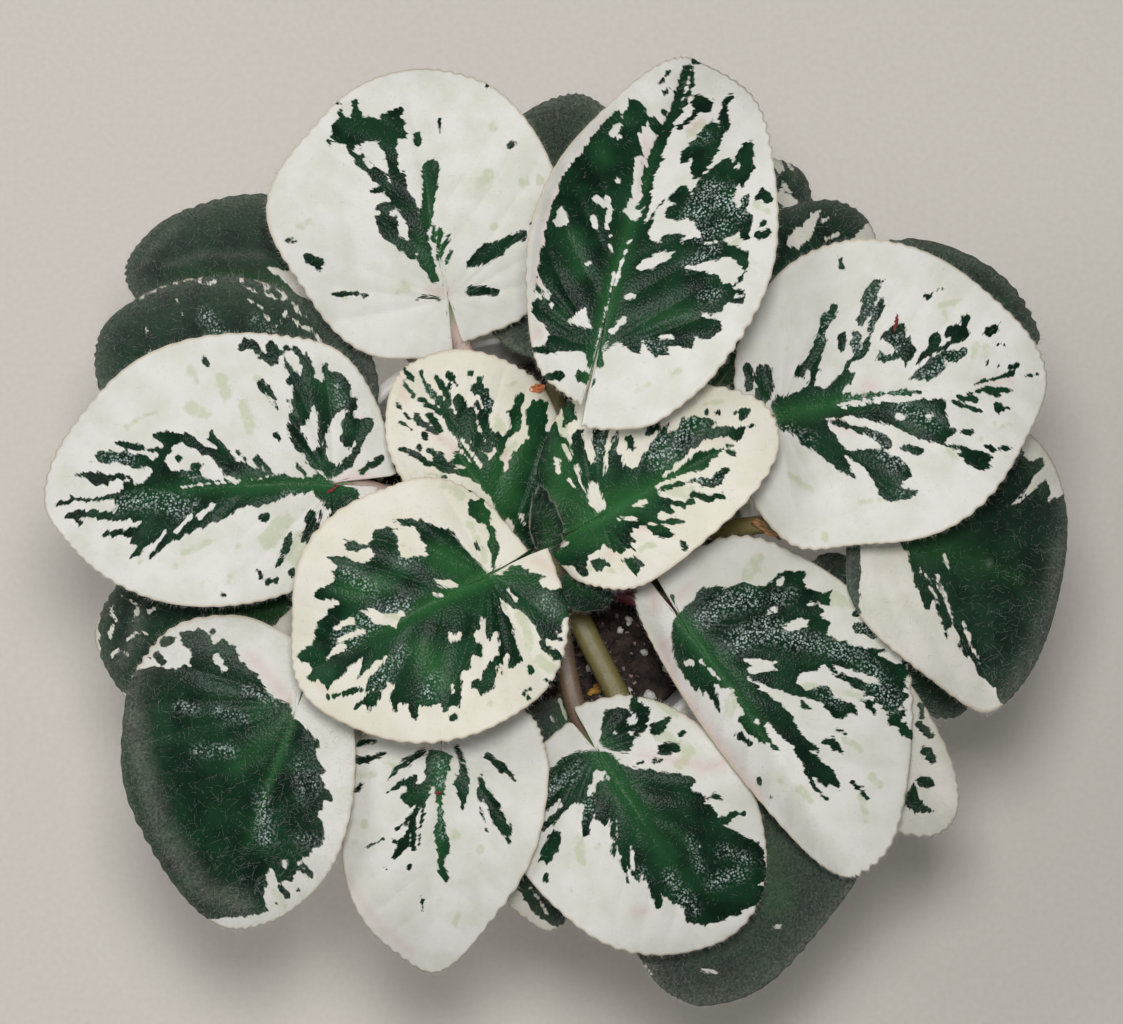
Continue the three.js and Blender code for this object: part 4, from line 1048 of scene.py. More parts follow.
# --- Ring of large leaves ------------------------------------------------------------------------
# Eight full-grown leaves round the centre, most of them white with jagged green along the veins.
PALE = dict(skin=WHITE_SKIN, slot="leaf_white_green")
grow_leaf(
    "leaf_north", (14.5, 38, 123), (36, 105, 109.3), 96, half=(20, 31), widest=(0.3, 0.4), lobe=(13, 17),
    taper=(0.4, 0.05), lift=(4, 2), arch=6, bend=2, turn=6, dip=27, seed=4, skin=WHITE_SKIN,
    stalk_material=OLIVE_STALK, slot="leaf_dark_green", curl=(0.6, 0), notch_half=0.03,
    painted_glint=[(12, 16, 690, 222, 712, 196, 736, 205), (9, 6, 722, 228, 700, 238), (7, 6, 712, 252, 688, 266),
     (6, 5, 704, 298, 716, 294), (5, 3, 648, 345, 672, 350), (4, 4, 690, 140, 705, 138)],
    patches=[(587, 368, 587, 352, 565, 352, 548, 355, 530, 351, 530, 346, 548, 345, 548, 330, 535, 318,
     530, 308, 533, 300, 545, 300, 534, 290, 537, 270, 540, 250, 545, 230, 548, 215, 556, 195, 560, 180,
     570, 165, 580, 155, 590, 140, 598, 128, 606, 120, 618, 110, 622, 118, 630, 100, 640, 102, 645, 110,
     650, 120, 642, 130, 640, 140, 643, 150, 641, 165, 637, 180, 632, 195, 628, 205, 622, 212, 635, 222,
     645, 205, 650, 190, 652, 200, 645, 225, 650, 220, 654, 222, 648, 235, 652, 242, 660, 242, 665, 235,
     680, 232, 690, 240, 710, 245, 722, 240, 735, 248, 748, 252, 749, 262, 745, 270, 738, 268, 732, 262,
     722, 258, 715, 265, 722, 280, 728, 283, 735, 290, 745, 290, 746, 300, 738, 305, 728, 302, 722, 312,
     710, 315, 700, 310, 706, 320, 721, 320, 722, 332, 710, 340, 696, 337, 692, 350, 680, 347, 668, 345,
     670, 355, 655, 357, 648, 350, 642, 340, 640, 355, 628, 350, 620, 342, 612, 345, 602, 355, 603, 368),
     (690, 195, 700, 180, 710, 170, 722, 160, 732, 160, 738, 175, 740, 185, 732, 198, 738, 210, 742, 215,
     740, 225, 738, 234, 722, 240, 700, 246, 680, 245, 690, 237, 697, 228, 690, 220, 672, 222, 665, 218,
     664, 212, 675, 203, 664, 200, 654, 214, 650, 222, 646, 224, 655, 210, 668, 198, 680, 187, 686, 186),
     (702, 130, 712, 122, 722, 130, 724, 140, 716, 155, 708, 170, 700, 177, 692, 180, 690, 170, 692, 160,
     680, 166, 679, 162, 684, 150, 695, 140), (742, 145, 754, 141, 753, 160, 755, 168, 748, 180, 742, 190,
     735, 178, 728, 170, 735, 158)],
    green=[(6, 8, 641, 205, 648, 178, 655, 158), (7, 5, 655, 158, 662, 138, 672, 116, 678, 98),
     (5, 5, 678, 98, 682, 82, 686, 70), (3, 2, 691, 72, 692, 86, 684, 104, 674, 120), (3, 3, 690, 90),
     (3, 3, 664, 113), (5, 5, 652, 123, 657, 130), (3, 3, 666, 92), (2, 2, 660, 84, 668, 73),
     (3, 3, 693, 62, 699, 62), (8, 7, 699, 104, 706, 107), (2.5, 3, 697, 112, 690, 119, 680, 128),
     (2, 2, 713, 100), (3, 4, 731, 97, 724, 106, 724, 118), (5, 5, 724, 118, 724, 128),
     (4, 3, 746, 198, 742, 212), (7, 5, 745, 220, 745, 236), (3, 5, 757, 200, 762, 192, 768, 200),
     (3.5, 3, 762, 226, 765, 223), (4, 4, 758, 236, 768, 234), (1.5, 1.5, 746, 272, 731, 292),
     (4, 5, 545, 378, 560, 376), (6, 5, 580, 377, 590, 383), (3, 3, 740, 400, 690, 408)],
    islands=[(556, 228, 552, 222, 560, 205, 566, 212, 569, 222),
     (566, 322, 580, 310, 585, 308, 592, 330, 575, 325), (638, 268, 642, 260, 655, 255, 665, 251, 676, 253,
     665, 262, 650, 270, 640, 272), (715, 262, 725, 258, 735, 262, 742, 268, 735, 278, 722, 286, 718, 275,
     686, 269, 688, 266)],
    white=[(3, 3, 538, 280, 548, 296), (3.5, 3, 594, 200, 604, 205), (4, 2, 607, 200, 610, 210, 606, 229),
     (3.5, 3, 594, 218, 594, 226), (3, 3, 618, 182), (4, 4, 613, 134, 617, 127), (2.5, 2.5, 619, 138),
     (2.5, 3, 587, 264), (2, 2, 609, 237), (1.5, 1, 610, 245, 612, 253), (2, 2, 551, 306),
     (3, 3, 628, 298, 632, 296), (3, 2.5, 613, 331, 624, 320), (2, 2, 662, 338, 672, 337),
     (2.5, 2, 737, 297, 741, 296), (3, 3, 738, 167), (2.5, 3.5, 681, 241, 697, 234),
     (0.9, 0.5, 593, 366, 598, 340, 606, 308), (1.2, 0.8, 610, 292, 614, 272),
     (1.4, 0.6, 616, 285, 622, 262, 634, 232), (1, 0.5, 603, 350, 608, 342), (3, 5, 638, 160, 636, 200),
     (4, 4, 632, 212, 638, 215), (1.5, 2.5, 640, 135, 646, 165)],
    pale=[(6, 6, 700, 125, 690, 135), (4, 4, 755, 205, 768, 212), (5, 4, 725, 255, 740, 240),
     (3, 3, 672, 375, 680, 370), (4, 4, 640, 390, 648, 386)],
    blush=[(4, 4, 645, 140, 642, 200), (4, 4, 655, 145, 660, 130), (5, 5, 525, 345, 540, 330),
     (4, 4, 700, 120, 690, 130), (6, 4, 538, 280, 550, 210, 575, 165, 605, 120)],
    glow=[(9, 6, 594, 366, 601, 330, 614, 285), (5, 3, 614, 285, 628, 248, 643, 210),
     (7, 7, 605, 160, 600, 150), (9, 9, 570, 240, 580, 270), (10, 10, 650, 320, 690, 315), (6, 6, 560, 315),
     (6, 5, 625, 120)])
grow_leaf(
    "leaf_north_west", (-18, 53, 103), (-28, 103, 107), 91, half=(34, 28.5), widest=(0.4, 0.35),
    lobe=(13, 10), taper=(0, 0), lift=(2, 1), seed=5, **PALE, stalk_material=PINK_STALK,
    green=[(3, 9, 434, 280, 428, 262, 420, 240), (9, 5, 420, 240, 412, 212, 398, 188, 392, 160),
     (14, 10, 345, 132, 375, 130, 395, 128), (9, 7, 385, 150, 395, 125), (4, 3, 342, 125, 341, 112),
     (5, 3, 356, 120, 355, 102), (5, 4, 385, 118, 400, 112), (5, 4, 392, 128, 404, 135),
     (6, 5, 388, 140, 393, 160, 396, 180), (6, 6, 352, 145, 362, 162, 380, 178, 400, 205),
     (2.5, 3, 372, 192, 388, 189), (5, 4, 382, 207, 400, 204, 410, 220),
     (5, 5, 380, 218, 385, 235, 400, 243, 412, 253), (8, 7, 388, 214, 392, 232),
     (7, 5, 412, 215, 416, 240, 424, 260, 434, 278), (3, 3, 412, 200, 418, 228),
     (2.5, 4, 403, 172, 405, 195, 410, 210), (9, 6, 431, 168, 430, 190, 426, 215, 421, 235),
     (2, 3, 434, 228, 433, 240), (3, 3, 441, 230, 438, 250), (2.5, 3, 449, 235, 441, 252, 438, 258),
     (2, 1.5, 451, 252, 446, 262), (4, 9, 470, 264, 483, 255), (10, 6, 488, 252, 500, 250),
     (5, 5, 500, 245, 512, 240, 523, 235), (5, 4.5, 471, 291, 480, 291, 495, 292),
     (4, 3, 511, 146, 515, 143), (4, 3.5, 417, 135, 418, 144), (1.5, 1, 440, 121, 440, 133),
     (1.5, 0.5, 488, 86, 484, 93), (5, 6, 309, 258, 318, 264), (2.5, 2.5, 287, 240, 295, 241),
     (2, 3, 333, 294, 342, 294, 356, 293), (3, 2.5, 363, 295, 366, 295),
     (1.5, 2, 417, 300, 424, 297, 434, 297, 438, 299), (2, 1.5, 329, 141, 330, 146),
     (2, 1, 338, 103, 342, 104), (2, 2, 531, 224, 536, 221)],
    white=[(5, 4, 374, 147, 382, 158), (3, 2, 357, 149, 359, 153), (4, 3, 366, 160, 370, 166),
     (2.5, 2.5, 393, 214, 394, 214)],
    pale=[(5, 4, 300, 226), (5, 4, 309, 222), (8, 7, 403, 288), (4, 4, 345, 297), (6, 5, 489, 174, 478, 186),
     (6, 6, 493, 127), (7, 6, 525, 183), (6, 6, 540, 180), (6, 5, 494, 226)],
    blush=[(6, 6, 432, 290, 447, 292)],
    glow=[(5, 9, 434, 280, 420, 240), (5, 5, 428, 190, 424, 225)])
grow_leaf(
    "leaf_east", (54, 27, 104.8), (111, 36, 107), 95, half=(34, 33), widest=(0.35, 0.3), lobe=(10, 12),
    lift=(2, 1), arch=5, turn=4, seed=6, **PALE, stalk_material=OLIVE_STALK,
    swells=[(800, 547, 1.8, 32)],
    painted_glint=[(6, 6, 874, 292, 868, 322, 852, 350), (7, 6, 900, 340, 884, 354), (8, 8, 895, 464, 874, 440),
     (7, 8, 900, 408, 932, 424), (8, 5, 960, 355, 922, 374), (4, 3, 850, 398, 902, 392),
     (5, 5, 786, 428, 812, 440), (5, 4, 828, 318, 822, 336), (4, 4, 900, 492)],
    patches=[(779, 432, 776, 418, 770, 405, 776, 395, 784, 397, 798, 391, 812, 385, 826, 388, 838, 377,
     848, 362, 862, 348, 868, 334, 868, 322, 874, 310, 880, 298, 885, 298, 884, 308, 878, 318, 874, 330,
     870, 345, 866, 355, 852, 362, 846, 370, 856, 374, 850, 384, 842, 392, 855, 394, 880, 391, 905, 389,
     928, 392, 905, 396, 880, 399, 850, 405, 836, 410, 855, 407, 880, 403, 900, 403, 912, 401, 925, 399,
     942, 399, 947, 403, 943, 411, 949, 418, 950, 427, 957, 431, 950, 437, 944, 443, 946, 447, 928, 442,
     915, 437, 893, 427, 870, 420, 845, 416, 820, 420, 835, 420, 850, 424, 872, 429, 888, 436, 894, 446,
     890, 452, 880, 446, 872, 436, 850, 430, 838, 426, 828, 424, 832, 432, 840, 442, 846, 450, 862, 450,
     870, 447, 888, 452, 900, 458, 910, 470, 912, 478, 902, 482, 904, 490, 919, 490, 915, 496, 900, 502,
     888, 501, 879, 494, 874, 482, 862, 466, 846, 456, 850, 468, 858, 480, 842, 473, 828, 462, 814, 450,
     803, 445, 796, 436, 788, 431), (837, 305, 832, 304, 826, 312, 820, 322, 818, 335, 811, 350, 806, 362,
     796, 368, 796, 377, 804, 378, 808, 370, 812, 372, 808, 385, 812, 390, 818, 378, 820, 368, 822, 355,
     826, 345, 826, 330, 834, 320, 839, 310), (884, 280, 874, 280, 864, 288, 862, 298, 862, 310, 855, 322,
     862, 327, 868, 320, 874, 305, 878, 292), (905, 323, 896, 324, 884, 333, 881, 340, 890, 345, 898, 352,
     892, 356, 880, 352, 876, 360, 885, 364, 900, 358, 905, 366, 912, 358, 915, 350, 911, 343, 912, 335,
     906, 338), (929, 337, 934, 333, 940, 332, 942, 345, 942, 352, 928, 357, 921, 361, 914, 368, 916, 362,
     920, 352, 927, 349), (960, 316, 968, 314, 971, 318, 964, 326, 970, 328, 968, 336, 960, 342, 952, 346,
     940, 352, 936, 350, 945, 343, 950, 339, 944, 337, 944, 332, 948, 325, 953, 328, 960, 325), (941, 352,
     950, 350, 966, 348, 967, 353, 962, 359, 955, 363, 944, 360, 944, 368, 936, 376, 928, 383, 920, 379,
     908, 380, 918, 370, 926, 362, 935, 357), (994, 403, 1000, 403, 1002, 407, 1010, 407, 1013, 408,
     1004, 411, 998, 414, 993, 412), (981, 445, 990, 444, 995, 447, 1005, 447, 1013, 449, 1008, 452,
     995, 452, 985, 450), (943, 444, 955, 446, 965, 448, 975, 450, 988, 453, 992, 458, 988, 464, 997, 467,
     990, 470, 975, 470, 965, 463, 957, 454, 960, 452)],
    green=[(5, 4, 842, 338, 842, 348), (5, 5, 857, 336, 855, 350), (3, 1, 927, 297, 935, 292, 941, 289),
     (1.5, 3, 840, 257, 842, 268), (5, 5, 989, 332, 993, 329), (1.5, 1, 1000, 324),
     (1, 2, 997, 345, 1004, 345), (2, 1, 986, 362, 984, 367), (3, 3, 1011, 367, 1016, 366),
     (1.5, 1, 998, 367), (1.5, 2, 975, 384, 983, 381, 995, 379), (2, 3, 995, 379, 1003, 376, 1012, 373),
     (2, 1, 1026, 376, 1034, 375, 1039, 374), (3, 4, 958, 397, 967, 399, 975, 399),
     (1.5, 2, 962, 396, 978, 392, 984, 390), (5, 5, 988, 391, 994, 392), (2, 2, 998, 396),
     (3, 1, 998, 390, 1005, 390, 1012, 391), (2.5, 1, 955, 402, 965, 407, 983, 412),
     (2.5, 3, 962, 433, 970, 432), (3, 4, 904, 447, 912, 450, 920, 452),
     (9.5, 8.5, 764, 374, 765, 386, 762, 398), (5, 4.5, 748, 368, 749, 386)],
    white=[(1, 1.5, 836, 406, 870, 400, 890, 397), (3, 3, 899, 416, 905, 417), (2.5, 2, 929, 416, 932, 416),
     (2, 2, 947, 340, 942, 344)],
    pale=[(4, 3, 944, 314, 946, 320), (4, 3, 975, 345, 972, 358), (5, 4, 986, 348, 984, 358),
     (3, 3, 1003, 427, 1010, 426), (3, 3, 994, 423), (3, 3, 981, 439), (4, 3, 950, 452, 955, 458),
     (4, 4, 790, 475, 812, 490), (3, 3, 860, 502, 880, 500), (4, 4, 787, 350), (5, 5, 825, 537),
     (3, 3, 960, 300, 940, 306)],
    blush=[(7, 6, 868, 386, 873, 387), (4, 3, 980, 384, 1010, 380), (5, 4, 832, 422, 855, 432)],
    glow=[(7, 6, 782, 420, 805, 418), (8, 7, 800, 408, 835, 400), (5, 3, 840, 398, 920, 391),
     (5, 4, 850, 378, 845, 390)])
grow_leaf(
    "leaf_west", (-43, 12, 104), (-106, 9, 99), 93, half=(26, 34), widest=(0.35, 0.22), lobe=(10, 14),
    taper=(0.2, 0.1), lift=(1, 2), arch=5, seed=7, **PALE, stalk_material=PINK_STALK,
    painted_glint=[(7, 11, 118, 505, 150, 500, 186, 508), (8, 6, 128, 458, 108, 458), (5, 5, 285, 497, 300, 500),
     (4, 4, 336, 388, 342, 404), (4, 4, 190, 475, 215, 472)],
    patches=[(337, 488, 322, 490, 312, 492, 300, 495, 290, 495, 283, 498, 268, 505, 255, 508, 248, 505,
     240, 510, 232, 515, 222, 520, 212, 523, 205, 528, 195, 530, 185, 535, 182, 540, 175, 540, 168, 545,
     160, 552, 150, 558, 149, 553, 158, 545, 163, 535, 160, 536, 150, 545, 140, 555, 131, 558, 135, 552,
     138, 546, 131, 544, 132, 537, 115, 537, 102, 537, 104, 533, 112, 530, 125, 530, 135, 527, 140, 523,
     130, 520, 118, 522, 105, 520, 90, 517, 80, 519, 84, 524, 80, 526, 75, 520, 66, 518, 68, 514, 80, 510,
     90, 511, 115, 512, 118, 505, 115, 500, 100, 502, 85, 503, 75, 502, 65, 507, 57, 506, 60, 501, 70, 500,
     68, 496, 80, 498, 95, 498, 110, 494, 122, 492, 122, 485, 130, 480, 120, 480, 112, 480, 108, 487,
     102, 486, 95, 485, 88, 480, 82, 477, 67, 476, 80, 474, 90, 472, 110, 475, 120, 473, 130, 475, 135, 485,
     142, 483, 150, 478, 152, 470, 140, 468, 130, 468, 120, 463, 100, 463, 92, 462, 98, 460, 95, 455,
     100, 450, 115, 451, 125, 451, 135, 454, 145, 455, 152, 460, 160, 455, 153, 452, 140, 451, 125, 448,
     113, 443, 120, 441, 135, 443, 142, 446, 150, 449, 165, 448, 165, 443, 155, 440, 151, 434, 168, 430,
     175, 434, 190, 433, 197, 440, 205, 446, 212, 448, 218, 450, 208, 440, 209, 432, 213, 430, 216, 437,
     224, 445, 230, 452, 238, 460, 248, 465, 258, 468, 275, 475, 268, 478, 250, 480, 235, 480, 225, 475,
     217, 465, 213, 458, 203, 455, 195, 450, 188, 446, 182, 442, 175, 445, 170, 455, 165, 461, 172, 470,
     180, 472, 190, 470, 190, 463, 200, 462, 204, 464, 200, 470, 202, 476, 210, 480, 225, 480, 240, 482,
     255, 480, 265, 476, 275, 473, 285, 475, 300, 478, 315, 476, 322, 475, 330, 482), (290, 403, 288, 400,
     295, 400, 293, 392, 292, 385, 285, 383, 288, 375, 285, 368, 281, 360, 284, 358, 290, 365, 297, 372,
     302, 376, 302, 366, 298, 357, 292, 350, 292, 345, 297, 348, 303, 355, 308, 352, 312, 360, 315, 368,
     314, 378, 320, 382, 324, 380, 322, 370, 323, 363, 328, 363, 329, 370, 335, 373, 340, 372, 350, 378,
     350, 390, 352, 398, 358, 400, 357, 408, 353, 413, 355, 418, 362, 420, 368, 417, 373, 420, 372, 428,
     368, 435, 362, 445, 360, 453, 355, 462, 348, 470, 340, 475, 332, 478, 328, 480, 322, 472, 310, 468,
     306, 463, 306, 455, 298, 452, 292, 445, 288, 432, 287, 420, 292, 412), (265, 345, 270, 341, 277, 345,
     281, 352, 279, 362, 273, 366, 264, 362, 258, 358, 266, 355), (311, 510, 316, 512, 318, 522, 320, 530,
     326, 532, 322, 542, 310, 545, 302, 543, 300, 535, 305, 528, 304, 518), (290, 531, 293, 535, 291, 545,
     287, 555, 283, 560, 281, 567, 275, 566, 280, 558, 282, 545)],
    green=[(4, 4, 243, 347, 246, 342), (4, 4, 252, 343, 257, 350), (3, 3, 258, 352, 265, 358),
     (4, 4, 286, 349), (5, 4, 261, 385, 268, 392), (4, 0.5, 268, 392, 274, 400, 278, 411),
     (2, 2, 204, 357, 207, 364), (3, 1, 276, 435, 279, 442), (3, 2, 296, 465, 305, 474), (5, 5, 264, 518),
     (3, 2.5, 259, 573, 261, 577), (3, 3, 267, 583, 275, 580), (4.5, 4.5, 292, 574), (3, 2.5, 224, 595),
     (3, 4, 363, 472, 372, 465), (4, 3, 372, 465, 383, 458), (3.5, 3.5, 179, 458),
     (4, 3, 257, 460, 268, 470), (2, 1, 238, 453, 246, 461), (10, 14, 325, 492, 345, 500),
     (16, 8, 335, 515, 335, 540)],
    islands=[(313, 405, 317, 412, 318, 425, 317, 440, 320, 447, 313, 450, 308, 445, 304, 435, 298, 430,
     305, 425, 310, 415), (350, 410, 345, 412, 342, 425, 340, 438, 342, 448, 348, 450, 355, 442, 358, 438,
     352, 452, 345, 460, 338, 466, 330, 462, 325, 450, 325, 440, 328, 428, 335, 415, 343, 410)],
    white=[(2.5, 3, 213, 506, 200, 517), (2.5, 2, 190, 517, 183, 526, 177, 532),
     (0.8, 0.8, 180, 487, 240, 480), (2.5, 2.5, 150, 471, 140, 472), (3, 4, 314, 503, 326, 512, 324, 524),
     (2, 2, 148, 552, 166, 532)],
    pale=[(8, 6, 222, 380, 226, 398), (7, 6, 245, 405, 250, 430), (8, 5, 192, 408, 208, 416),
     (3, 2, 127, 427, 140, 418, 155, 413), (5, 4, 190, 370, 196, 380), (6, 5, 258, 380), (4, 4, 203, 585),
     (3, 3, 176, 565), (5, 4, 240, 548), (4, 3, 232, 575, 228, 585), (10, 9, 268, 540, 285, 520),
     (9, 9, 295, 560, 300, 540), (3, 3, 140, 562), (4, 3, 185, 553, 215, 540)],
    blush=[(6, 9, 340, 482, 362, 478), (6, 6, 362, 478, 378, 486), (2, 2, 268, 500, 290, 496)],
    glow=[(12, 12, 262, 484, 315, 484), (8, 6, 262, 484, 200, 490), (9, 8, 325, 385, 335, 400),
     (8, 5, 340, 430), (6, 8, 322, 465)])
grow_leaf(
    "leaf_south_west", (-50, -36, 101.4), (-67, -82, 87.6), 95, half=(19, 34), widest=(0.5, 0.2),
    lobe=(9, 13), taper=(0, 0.2), lift=(2, 1), arch=4, turn=-6, dip=-2, seed=8, skin=WHITE_SKIN,
    stalk_material=OLIVE_STALK, slot="leaf_dark_green", rib_width=1.2, quilt=0.3, margin_sheen=0.4, hairiness=20,
    hair_length=3.4, notch_half=0.05,
    swells=[(185, 632, 3.5, 55), (250, 645, 3, 40), (135, 680, 2, 40)],
    painted_glint=[(5, 4, 248, 690, 276, 702), (5, 6, 198, 750, 230, 750), (4, 3, 180, 705, 195, 710),
     (4, 3, 218, 712, 246, 718), (6, 8, 262, 795, 266, 838), (3, 3, 300, 762, 302, 800),
     (5, 3, 300, 838, 320, 842), (4, 4, 312, 775, 316, 790)],
    # Painted sheen: the grey hairy sheen along the left margin.
    dust_sheen_shade_marks=[(14, 14, 128, 690, 138, 760, 160, 830, 200, 890, 240, 905)],
    patches=[(115, 710, 133, 675, 140, 668, 150, 668, 155, 666, 162, 668, 175, 668, 185, 666, 192, 655,
     188, 648, 182, 645, 180, 633, 186, 630, 192, 634, 198, 629, 206, 631, 210, 637, 214, 643, 220, 642,
     222, 638, 228, 643, 235, 645, 237, 652, 240, 660, 245, 663, 252, 672, 258, 675, 262, 682, 266, 690,
     274, 698, 290, 704, 293, 718, 300, 722, 310, 732, 319, 742, 320, 748, 315, 750, 318, 758, 322, 765,
     326, 772, 320, 775, 325, 785, 330, 792, 333, 800, 325, 800, 322, 810, 318, 815, 322, 822, 325, 830,
     326, 838, 322, 846, 315, 848, 310, 855, 300, 858, 298, 868, 293, 880, 285, 882, 278, 882, 275, 875,
     272, 868, 268, 870, 266, 885, 265, 895, 268, 910, 262, 912, 255, 915, 240, 917, 225, 917, 210, 920,
     170, 900, 130, 830, 105, 760)],
    green=[(5, 5, 164, 642, 170, 641), (4, 4, 156, 655, 162, 661), (2, 2, 149, 658), (3, 3, 213, 631),
     (3, 4, 302, 866, 311, 873), (2, 3, 279, 886, 288, 895), (2, 2, 299, 889), (1.5, 1.5, 276, 903)],
    white=[(3, 3, 216, 657, 224, 668), (2, 2, 175, 660, 188, 664), (2.5, 2, 286, 860, 286, 866)],
    pale=[(5, 4, 288, 700, 292, 715), (4, 4, 275, 890, 285, 905)],
    blush=[(5, 5, 250, 655, 290, 700)],
    glow=[(9, 14, 292, 712, 270, 735), (14, 10, 270, 735, 240, 765), (9, 6, 270, 705, 255, 715)])
grow_leaf(
    "leaf_south", (-19, -44, 100.2), (-22, -92, 86), 89.6, half=(23.5, 21.5), widest=(0.05, 0.35),
    lobe=(12, 9), taper=(0.25, 0.15), lift=(3, -4.5), arch=5, turn=12, seed=9, **PALE,
    stalk_material=OLIVE_STALK,
    painted_glint=[(6, 5, 440, 762, 440, 782), (3, 3, 443, 812, 443, 835)],
    patches=[(425, 765, 429, 750, 440, 750, 452, 756, 450, 766, 447, 776, 446, 788, 443, 797, 443, 808,
     445, 818, 447, 828, 449, 838, 450, 848, 449, 855, 444, 860, 446, 868, 449, 877, 447, 884, 443, 881,
     439, 872, 438, 862, 437, 850, 434, 840, 434, 828, 437, 818, 438, 810, 436, 803, 435, 793, 434, 787,
     431, 787, 428, 795, 424, 802, 420, 810, 416, 818, 412, 818, 405, 825, 396, 830, 397, 828, 405, 822,
     407, 817, 412, 812, 415, 805, 410, 807, 405, 803, 401, 798, 403, 793, 408, 790, 404, 785, 395, 790,
     388, 793, 395, 787, 402, 780, 410, 777, 417, 776, 417, 783, 421, 784, 425, 780)],
    green=[(1, 4, 388, 779, 397, 770, 405, 763), (4, 3, 405, 763, 415, 757, 424, 752),
     (3, 2.5, 414, 820, 413, 835, 414, 848), (2, 1, 424, 805, 421, 825, 419, 845),
     (2, 5, 411, 828, 405, 840), (5, 3.5, 405, 840, 396, 856), (3, 3, 395, 841), (3, 3, 457, 748, 462, 760),
     (4, 8, 463, 766, 462, 782), (8, 1, 462, 782, 464, 796, 462, 809), (2, 7, 480, 777, 484, 790, 494, 806),
     (7, 6, 494, 806, 500, 820, 506, 830), (5, 1, 506, 830, 509, 836, 511, 843),
     (3, 5, 487, 756, 495, 762, 504, 769), (4, 1, 504, 769, 510, 774, 515, 780),
     (2, 1, 480, 806, 484, 818, 487, 830), (2.5, 2, 479, 790, 481, 800), (4, 4, 356, 760, 366, 760),
     (4, 1.5, 366, 760, 375, 757, 385, 753), (3, 3, 355, 790, 361, 786), (4, 2, 355, 744, 375, 741),
     (1.5, 1, 422, 898, 423, 910), (2, 1.5, 387, 869), (1.5, 1.5, 410, 865, 409, 870),
     (1, 1, 368, 848, 384, 839)],
    white=[(2.2, 2, 457, 770, 457, 774)],
    pale=[(5, 5, 365, 824), (4, 4, 355, 842), (6, 6, 455, 835), (3, 3, 380, 760, 395, 765),
     (4, 4, 360, 775, 375, 775), (5, 5, 480, 850), (3, 3, 456, 925, 458, 912)],
    blush=[(3, 3, 345, 875, 380, 925), (3, 3, 380, 925, 410, 950)],
    glow=[(9, 8, 438, 762, 436, 785), (6, 4, 425, 790, 410, 800)])
